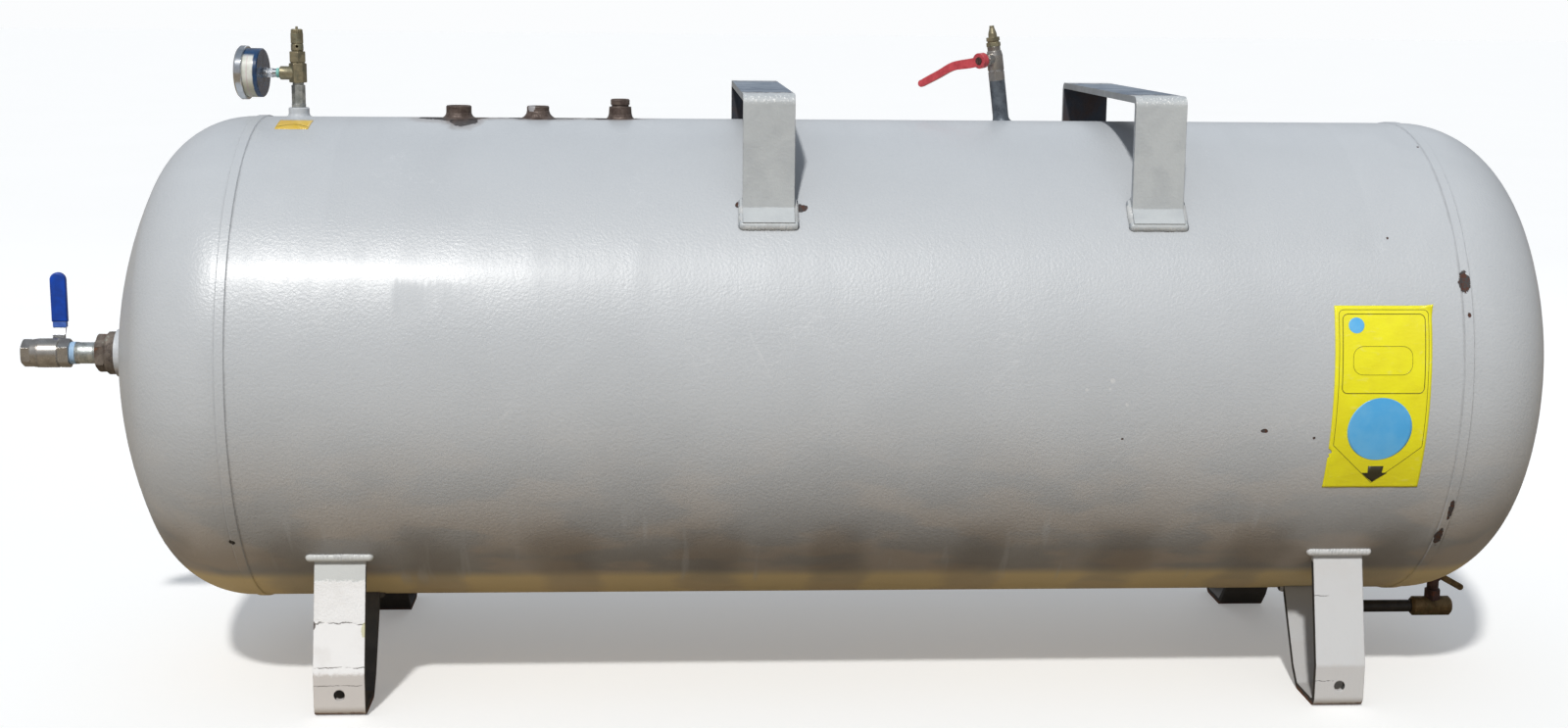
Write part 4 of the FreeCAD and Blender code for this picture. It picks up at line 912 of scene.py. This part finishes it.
def bracketWelds():
    # beads along the rolled flange: across its end and up both sides
    w = weldSet
    half, lift, reach = w["barHalf"], w["bracketRise"], w["barHalf"] + w["overhang"]
    root = math.degrees(math.acos((bracketSet["half"] - w["barThick"]) / (shellR + w["barThick"] / 2)))
    end = root - math.degrees(w["flangeLength"] / shellR)
    for name in ("left_bracket", "right_bracket"):
        centre = middle(name).x - midX
        lines = [(onShell(centre + np.linspace(-reach, reach, 9), end, lift), 1.06)]
        lines += [(onShell(centre + x, np.linspace(end, root + 1, 9), lift), 0.96) for x in (-half, half)]
        parts = []
        for side in (1, -1):
            for index, (path, swell) in enumerate(lines):
                path = path * (1, side, 1)
                seed = 31 + index + (side > 0) * 7 + len(name)
                bead = beadAlong(path, w["beadR"] * swell, fromAxis(path), w["bracketPitch"], seed, flat=0.9)
                parts.append(bead)
        addPiece(name + "_weld", *joined(parts), "bracket_steel", "weld_paint")


saddles = {  # along, across, wall radius, foot radius, height
    "top_socket_a": (-0.4715, 0, 0.0157, 0.0208, 0.0065),
    "top_socket_b": (-0.3735, 0, 0.0139, 0.0224, 0.0095),
    "top_socket_c": (-0.2714, 0, 0.0146, 0.0184, 0.0055),
    "gauge_boss": (-0.668, 0, 0.0127, 0.0172, 0.0042),
}


def saddleWelds():
    # concave fillet from a round fitting's wall down to the shell, a quarter circle leaning on both:
    # reach = foot - a sin(t), height = H (1 - cos(t)), both shaken by a ripple round the fitting
    turn = np.linspace(0, 2 * np.pi, 96, endpoint=False)
    t = np.linspace(0, np.pi / 2, 9)
    hidden = 0.0012  # how far the fillet reaches into the wall and the shell
    for index, (node, (x, y, wall, foot, tall)) in enumerate(saddles.items()):
        waves = np.random.default_rng(50 + index).uniform(-1, 1, (5, 2))
        shaken = sum(a * np.cos(k * turn) + b * np.sin(k * turn)
                     for k, (a, b) in zip((2, 3, 5, 7, 11), waves))
        shaken = 0.035 * shaken + 0.03 * np.cos(turn * 34)
        inner = wall - hidden
        reach = np.array([foot + 0.0004, *(foot - (foot - wall) * np.sin(t)), inner, inner])[:, None]
        lift = np.array([-hidden, *(tall * (1 - np.cos(t))), tall, -hidden])[:, None]
        reach = reach + (foot - wall) * np.array([1, *np.cos(t), 0, 0])[:, None] * shaken
        lift = lift + tall * np.array([0, *np.sin(2 * t), 0, 0])[:, None] * shaken * 0.6
        ringX, ringY = x + reach * np.cos(turn), y + reach * np.sin(turn)
        rings = np.stack([midX + ringX, ringY, axisZ + np.sqrt(shellR ** 2 - ringY ** 2) + lift], -1)
        addPiece(node + "_weld", *closedTube(np.concatenate([rings, rings[:1]])), nodeSlots[node])


drainSet = {"knuckle": 0.115, "straight": 0.725, "out": 0.079, "ringR": 0.0092, "beadR": 0.0021,
            "way": (0.69, 0, -0.72), "pitch": 0.003}


def drainWeld():
    # bead round the drain nipple on the right head's knuckle: rho(x) = ringR + sqrt(knuckle^2 - x^2)
    s = drainSet
    turn = np.linspace(0, 2 * np.pi, 60, endpoint=False)
    beyond, ringY = s["out"] + s["ringR"] * np.cos(turn), s["ringR"] * np.sin(turn)
    rho = shellR - s["knuckle"] + np.sqrt(s["knuckle"] ** 2 - beyond ** 2)
    path = np.stack([midX + s["straight"] + beyond, ringY, axisZ - np.sqrt(rho ** 2 - ringY ** 2)], 1)
    bead = beadAlong(path, s["beadR"], s["way"], s["pitch"], 77, sides=12, loop=True)
    addPiece("drain_nipple_weld", *bead, "tank_paint")


footWelds()
bracketWelds()
saddleWelds()
drainWeld()
print("welds laid")

# screw threads
threadSet = {
    "bores": {"top_socket_a": 0.0121, "top_socket_b": 0.0093, "top_socket_c": 0.0086}, "deep": 0.015,
    "valveR": 0.0121, "nippleR": 0.01345, "inner": 0.0009, "outer": -0.0006, "pitch": 0.0018, "sides": 40,
}


def coil(centre, axis, radius, length, depth):
    # screw thread: a V section carried round a helix; its crest points to the axis, or outwards below zero
    pitch, sign, depth = threadSet["pitch"], -np.sign(depth), abs(depth)
    axis = np.array(axis, float)
    across = unit(np.cross(axis, [0.31, 0.86, 0.4]))
    turns = max(length / pitch - 0.6, 1.2)
    t = np.linspace(0, turns * 2 * np.pi, int(turns * threadSet["sides"]))
    fade = np.clip(np.minimum(t, t[-1] - t) / 1.2, 0.02, 1)
    radial = np.cos(t)[:, None] * across + np.sin(t)[:, None] * np.cross(axis, across)
    line = np.array(centre) + (t / (2 * np.pi) * pitch + pitch * 0.3)[:, None] * axis
    section = [(-0.0003, -0.46), (0, -0.4), (depth, -0.06), (depth, 0.06), (0, 0.4), (-0.0003, 0.46)]
    rings = []
    for lift, shift in section:
        r = radius + sign * lift * (fade if lift > 0 else np.ones(len(t)))
        rings.append(line + radial * r[:, None] + axis * shift * pitch)
    return cappedTube(np.stack(rings, 1))


def threads():
    # female threads in the open sockets and the valve's end, male ones on the end nipple
    s = threadSet
    for node, bore in s["bores"].items():
        start = (midX + saddles[node][0], 0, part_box(node)[1].z - s["deep"] - 0.001)
        addPiece(node + "_thread", *coil(start, (0, 0, 1), bore, s["deep"], s["inner"]), "socket_steel")
    outletZ, outwards = middle("valve_body").z, (-1, 0, 0)
    start = (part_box("valve_body")[0].x + 0.0125, 0, outletZ)
    addPiece("valve_outlet_thread", *coil(start, outwards, s["valveR"], 0.0115, s["inner"]), "nickel")
    starts = ((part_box("thread_tape")[1].x + 0.0045, 0.0045), (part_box("outlet_bushing")[0].x + 0.0005, 0.006))
    parts = [coil((x, 0, outletZ), outwards, s["nippleR"], length, s["outer"]) for x, length in starts]
    addPiece("outlet_nipple_thread", *joined(parts), "galvanised")


threads()
print("threads cut")

# stem inside the relief valve's vent: radius at each height, from its foot to its tip
stemProfile = [(0, 0.0034), (0.0024, 0.0036), (0.0024, 0.0054), (0.0017, 0.0057), (0.0017, 0.0063),
               (0.0024, 0.0066), (0.0024, 0.0084), (0, 0.0086)]


def reliefStem(sides=24):
    # turned pin on the valve's axis, closed at both ends
    centre, base = middle("relief_body"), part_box("gauge_tee")[1].z
    turn = np.linspace(0, 2 * np.pi, sides, endpoint=False)
    rings = [np.stack([centre.x + r * np.cos(turn), centre.y + r * np.sin(turn), turn * 0 + base + z], 1)
             for r, z in stemProfile[1:-1]]
    poles = [[centre.x, centre.y, base + stemProfile[k][1]] for k in (0, -1)]
    count = len(rings) * sides
    faces = gridFaces(len(rings), sides, True)
    faces += [[count, (k + 1) % sides, k] for k in range(sides)]
    faces += [[count + 1, count - sides + k, count - sides + (k + 1) % sides] for k in range(sides)]
    addPiece("relief_stem", *outward(np.concatenate(rings + [poles]), faces), "old_brass")


reliefStem()

# labels: places on the sheet are u across and v down, both 0..1, or millimetres
labelSet = {
    "x": (0.5555, 0.6695), "angles": (20.6, -21.5), "lift": 0.0003, "thick": 0.00018, "curl": 0.007,
    "lean": 0.002, "ink": 0.00022, "inkThick": 0.0001,
    "tears": ((0.782, 0.008, 0.055), (0.806, 0.006, 0.025)),  # in the left edge: v, half height, depth
    "panel": (0.082, 0.93, 0.045, 0.462, 6.5, 0.42),  # left, right, top, bottom, corner radius, half width
    "capsule": (0.19, 0.8, 0.215, 0.365, 12, 0.22),
    "discs": ((0.222, 0.105, 9.2), (0.505, 0.658, 38)),  # u, v, radius
    "arrow": [(0.868, 0.44, 0.6), (0.908, 0.445, 0.595), (0.909, 0.385, 0.65), (0.935, 0.44, 0.585),
              (0.965, 0.51, 0.512)],  # v, left edge, right edge
}
labelWide = (labelSet["x"][1] - labelSet["x"][0]) * 1000
labelTall = (labelSet["angles"][0] - labelSet["angles"][1]) * math.radians(1) * shellR * 1000


def labelPoint(u, v, lift=0):
    # the sheet's foot leans left and its upper right corner curls off
    s = labelSet
    curl = np.clip((u - v * 1.6 - 0.86) / 0.14, 0, 1) ** 2 * s["curl"]
    along = s["x"][0] + (s["x"][1] - s["x"][0]) * u - s["lean"] * v
    angle = s["angles"][0] + (s["angles"][1] - s["angles"][0]) * v
    wave = 0.00016 * (1 + np.sin(u * 17 + v * 9) * np.sin(v * 23 + 1.3)) * (1 - curl * 100).clip(0, 1)
    return onShell(along, angle, s["lift"] + wave + curl + lift)


def stickerPoint(u, v, lift=0):
    # small sticker under the gauge boss, lying on the shell
    return onShell(-0.684 + 0.04 * u, 82.6 - 8 * v, 0.0003 + lift)


def film(u, v, thick, lift=0, mapTo=labelPoint):
    # sheet through a grid of places, given a little thickness
    rows, columns = u.shape
    top = mapTo(u, v, lift).reshape(-1, 3)
    count = rows * columns
    upper = gridFaces(rows, columns)
    lower = [[i + count for i in face[::-1]] for face in upper]
    grid = np.arange(count).reshape(rows, columns)
    rim = np.concatenate([grid[0, :-1], grid[:-1, -1], grid[-1, :0:-1], grid[:0:-1, 0]]).tolist()
    walls = [[a, a + count, b + count, b] for a, b in zip(rim, rim[1:] + rim[:1])]
    return outward(np.concatenate([top, top - fromAxis(top) * thick]), upper + lower + walls)


def roundedPath(left, right, top, bottom, r):
    # closed outline of a rounded box, its sides as shares of the sheet, going round once
    u0, u1, v0, v1 = left * labelWide, right * labelWide, top * labelTall, bottom * labelTall
    turn = np.linspace(0, np.pi / 2, 8)
    corners = [(u1 - r, v1 - r, 0), (u0 + r, v1 - r, 1), (u0 + r, v0 + r, 2), (u1 - r, v0 + r, 3)]
    points = [np.stack([x + r * np.cos(turn + k * np.pi / 2), y + r * np.sin(turn + k * np.pi / 2)], 1)
              for x, y, k in corners]
    return np.concatenate(points + [points[0][:1]])


def stroke(path, half, size):
    # line of half-width half mm along a path in mm, as u and v; size is the sheet's width and height in mm
    path = np.asarray(path, float)
    fine = np.concatenate([np.linspace(a, b, max(int(np.linalg.norm(b - a) / 4), 1), endpoint=False)
                           for a, b in zip(path[:-1], path[1:])] + [path[-1:]])
    tangent = unit(np.gradient(fine, axis=0))
    side = np.stack([-tangent[:, 1], tangent[:, 0]], 1) * half
    grid = np.stack([fine - side, fine + side], 1) / np.array(size)
    return grid[..., 0], grid[..., 1]


def makeLabel():
    # torn sheet, border lines, plain discs and a plain arrow
    s = labelSet
    v, u = np.meshgrid(np.linspace(0, 1, 90), np.linspace(0, 1, 46), indexing="ij")
    tear = sum(np.exp(-((v - at) / half) ** 2) * depth for at, half, depth in s["tears"])
    addPiece("label_sheet", *film(u + tear * (1 - u) ** 6, v, s["thick"]), "tank_paint", "label_yellow")
    # the outline ends in a point below; its top is rounded
    topArc = roundedPath(0.045, 0.965, 0.022, 0.5, 6)[16:32].tolist()
    foot = [(u * labelWide, v * labelTall) for u, v in ((0.965, 0.755), (0.5, 0.968), (0.045, 0.745))]
    lines = [(foot[-1:] + topArc + foot, 0.28)]
    lines += [(roundedPath(*s[name][:5]), s[name][5]) for name in ("panel", "capsule")]
    size = (labelWide, labelTall)
    parts = [film(*stroke(path, half, size), s["inkThick"], s["ink"]) for path, half in lines]
    addPiece("label_lines", *joined(parts), "tank_paint", "print_dark")
    # discs as rows of chords: half width = r sin(turn) at height r cos(turn)
    turn, across = np.meshgrid(np.linspace(0.04, np.pi - 0.04, 40), np.linspace(-1, 1, 24), indexing="ij")
    halfWide, high = across * np.sin(turn) / labelWide, np.cos(turn) / labelTall
    parts = [film(u + halfWide * r, v - high * r, s["inkThick"], s["ink"]) for u, v, r in s["discs"]]
    addPiece("label_discs", *joined(parts), "tank_paint", "print_blue")
    u = np.array([np.linspace(left, right, 6) for v, left, right in s["arrow"]])
    v = np.array([[v] * 6 for v, left, right in s["arrow"]])
    addPiece("label_arrow", *film(u, v, s["inkThick"], s["ink"]), "tank_paint", "print_black")


def makeSticker():
    v, u = np.meshgrid(np.linspace(0, 1, 14), np.linspace(0, 1, 14), indexing="ij")
    addPiece("boss_sticker", *film(u, v, 0.00016, mapTo=stickerPoint), "tank_paint", "sticker_amber")
    chevron = stroke([(1.5, 34), (12, 26), (20, 23.5), (28, 26), (38.5, 34)], 0.45, (40, 41.9))
    addPiece("boss_sticker_line", *film(*chevron, 0.0001, 0.0002, stickerPoint), "tank_paint", "print_dark")


makeLabel()
makeSticker()
print("labels laid")

# dial marks
dialSet = {"ticks": 50, "start": 225, "sweep": 270, "inner": 0.0205, "outer": 0.024, "number": 0.016,
           "size": 0.0046, "lift": 0.00012, "thick": 0.0001}


def dialMarks():
    # scale arc, ticks every fiftieth of the sweep and plain numbers, standing just off the dial
    s = dialSet
    way = np.array(gaugeWay)
    right = unit(np.cross(-way, (0, 0, 1)))
    up = np.array([0, 0, 1])
    centre = np.array(middle("gauge_dial")) + way * (0.0005 + s["lift"])

    def ray(share):
        angle = np.radians(s["start"] - s["sweep"] * np.asarray(share))[..., None]
        return np.cos(angle) * right + np.sin(angle) * up

    parts = []
    for k in range(s["ticks"] + 1):
        inner = s["inner"] - (0.0022 if k % 10 == 0 else 0.0008 if k % 5 == 0 else 0)
        half = 0.00028 if k % 10 == 0 else 0.00014
        out = ray(k / s["ticks"])
        cross = np.cross(way, out)
        front = np.array([centre + out * r + cross * c for r in (inner, s["outer"]) for c in (-half, half)])
        faces = [[0, 2, 3, 1], [4, 5, 7, 6], [0, 1, 5, 4], [2, 6, 7, 3], [0, 4, 6, 2], [1, 3, 7, 5]]
        parts.append(outward(np.concatenate([front, front - way * s["thick"]]), faces))
    rays = ray(np.linspace(0, 1, 90))
    parts.append(cappedTube(np.stack([centre + rays * (s["outer"] + wide) - way * deep for wide, deep in (
        (0, 0), (0.0005, 0), (0.0005, s["thick"]), (0, s["thick"]))], 1)))
    for k in range(6):
        parts.append(numberMesh(str(2 * k), centre + ray(k / 5) * s["number"], right, up, way))
    addPiece("dial_marks", *joined(parts), "needle", smooth=False)


def numberMesh(text, place, right, up, way):
    # a number as a thin closed mesh, centred on its place
    curve = bpy.data.curves.new("number_" + text, "FONT")
    curve.body = text
    curve.size = dialSet["size"]
    curve.extrude = dialSet["thick"] / 2
    curve.resolution_u = 2
    holder = bpy.data.objects.new("number", curve)
    scene.collection.objects.link(holder)
    bpy.context.view_layer.update()
    mesh = bpy.data.meshes.new_from_object(holder.evaluated_get(bpy.context.evaluated_depsgraph_get()))
    local = np.zeros(len(mesh.vertices) * 3)
    mesh.vertices.foreach_get("co", local)
    local = local.reshape(-1, 3)
    local -= (local.min(0) + local.max(0)) / 2
    faces = [list(p.vertices) for p in mesh.polygons]
    bpy.data.objects.remove(holder)
    bpy.data.meshes.remove(mesh)
    bpy.data.curves.remove(curve)
    return place + local @ np.array([right, up, way]), faces


dialMarks()
print("dial marked")

# stage: camera, floor, light
cameraSet = {"left": 0.20975, "back": 2.5707, "up": 0.439, "yaw": 0.0568, "pitch": 0.1733, "roll": 0.0093,
             "lens": 46.807, "sensor": 36, "near": 0.05, "far": 200}


def makeCamera():
    # stands before the tank's middle, turned by yaw and pitch and rolled about its own line of sight
    c = cameraSet
    data = bpy.data.cameras.new("camera")
    data.lens, data.sensor_width = c["lens"], c["sensor"]
    data.clip_start, data.clip_end = c["near"], c["far"]
    forward = Vector((math.sin(c["yaw"]) * math.cos(c["pitch"]), math.cos(c["yaw"]) * math.cos(c["pitch"]),
                      -math.sin(c["pitch"])))
    flat = forward.cross(Vector((0, 0, 1))).normalized()
    over = flat.cross(forward)
    right = flat * math.cos(c["roll"]) + over * math.sin(c["roll"])
    up = over * math.cos(c["roll"]) - flat * math.sin(c["roll"])
    camera = bpy.data.objects.new("camera", data)
    camera.matrix_world = Matrix.Translation((midX - c["left"], -c["back"], axisZ + c["up"])) @ Matrix(
        (right, up, -forward)).transposed().to_4x4()
    scene.collection.objects.link(camera)
    scene.camera = camera


floorSet = {"reach": 60, "glow": 0.22, "pale": ((0.9, 0.9, 0.89, 1), (0.86, 0.86, 0.85, 1)),
            "warm": ((0.41, 0.335, 0.24, 1), (0.25, 0.205, 0.15, 1))}


def makeFloor():
    # wide pale floor; light bounced from it is dim and warm, as from packed ground
    s = floorSet
    here = openMaterial("floor")
    cloud = noise(here, 1.3, 4, 0.5)
    grain = noise(here, 60, 3, 0.6)
    seen = put("ShaderNodeLightPath").outputs["Is Camera Ray"]
    pale = mixColour(cloud, *s["pale"])
    warm = mixColour(rise(cloud, 0.4, 0.62), *s["warm"])
    material = closeMaterial(colour=mixColour(seen, warm, pale), rough=0.8, gloss=0.1,
                             normal=bump(grain, 0.0003), glow=mixColour(seen, (0, 0, 0, 1), (1, 1, 1, 1)),
                             glowStrength=s["glow"])
    mesh = bpy.data.meshes.new("floor")
    corners = [(x * s["reach"], y * s["reach"], 0) for x, y in ((-1, -1), (1, -1), (1, 1), (-1, 1))]
    mesh.from_pydata(corners, [], [[0, 1, 2, 3]])
    mesh.materials.append(material)
    floor = bpy.data.objects.new("floor", mesh)
    scene.collection.objects.link(floor)


lightSet = {"sunHigh": 48, "sunLeft": 14, "sunPower": 2.45, "sunSoft": 3.4, "sunTone": (1, 0.985, 0.96),
            "fill": 12, "fillTone": (0.9, 0.95, 1), "fillAt": (0.8, 3.4, 2.6), "fillSize": (4, 2)}


def addLight(name, kind, power, tone, place, target=(0, 0, 0)):
    # a light that stands at a place and looks at a target
    data = bpy.data.lights.new(name, kind)
    data.energy, data.color = power, tone
    light = bpy.data.objects.new(name, data)
    turn = (Vector(target) - Vector(place)).to_track_quat("-Z", "Y").to_matrix().to_4x4()
    light.matrix_world = Matrix.Translation(place) @ turn
    scene.collection.objects.link(light)
    return data


def makeLight():
    # one soft sun from the front and a weak fill from behind
    s = lightSet
    high, left = math.radians(s["sunHigh"]), math.radians(s["sunLeft"])
    source = Vector((-math.sin(left) * math.cos(high), -math.cos(left) * math.cos(high), math.sin(high)))
    sun = addLight("sun", "SUN", s["sunPower"], s["sunTone"], source * 6)
    sun.angle = math.radians(s["sunSoft"])
    fill = addLight("fill", "AREA", s["fill"], s["fillTone"], s["fillAt"], (0, 0, 0.4))
    fill.shape = "RECTANGLE"
    fill.size, fill.size_y = s["fillSize"]


skySet = {"power": 0.42, "horizon": (0.95, 0.96, 1, 1), "zenith": (0.62, 0.74, 0.9, 1),
          "cloud": (1.15, 1.12, 1.08, 1), "backdrop": (0.97, 0.98, 0.99, 1)}


def makeSky():
    # pale sky, brighter at the horizon, a little blue overhead and broken by soft clouds
    s = skySet
    world = scene.world = bpy.data.worlds.new("sky")
    world.use_nodes = True
    opened["tree"] = world.node_tree
    world.node_tree.nodes.clear()
    way = put("ShaderNodeTexCoord").outputs["Generated"]
    along, height = split(way)[::2]
    cloud = noise(stretch(way, 1, 1, 2.5), 2.2, 3)
    colour = over(s["horizon"], s["zenith"], rise(height, 0, 0.9))
    colour = over(colour, s["cloud"], rise(cloud, 0.4, 0.7, 0, 0.35))
    power = both(rise(along, -0.1, 0.9, 1, 0.62), s["power"])
    seen = put("ShaderNodeLightPath").outputs["Is Camera Ray"]
    lit = put("ShaderNodeBackground", {"Color": colour, "Strength": power})
    shown = put("ShaderNodeBackground", {"Color": s["backdrop"], "Strength": 1})
    mix = put("ShaderNodeMixShader", {"Fac": seen, 1: lit.outputs[0], 2: shown.outputs[0]})
    put("ShaderNodeOutputWorld", {"Surface": mix.outputs[0]})


makeCamera()
makeFloor()
makeLight()
makeSky()
scene.view_settings.view_transform = "Standard"
print("stage set")
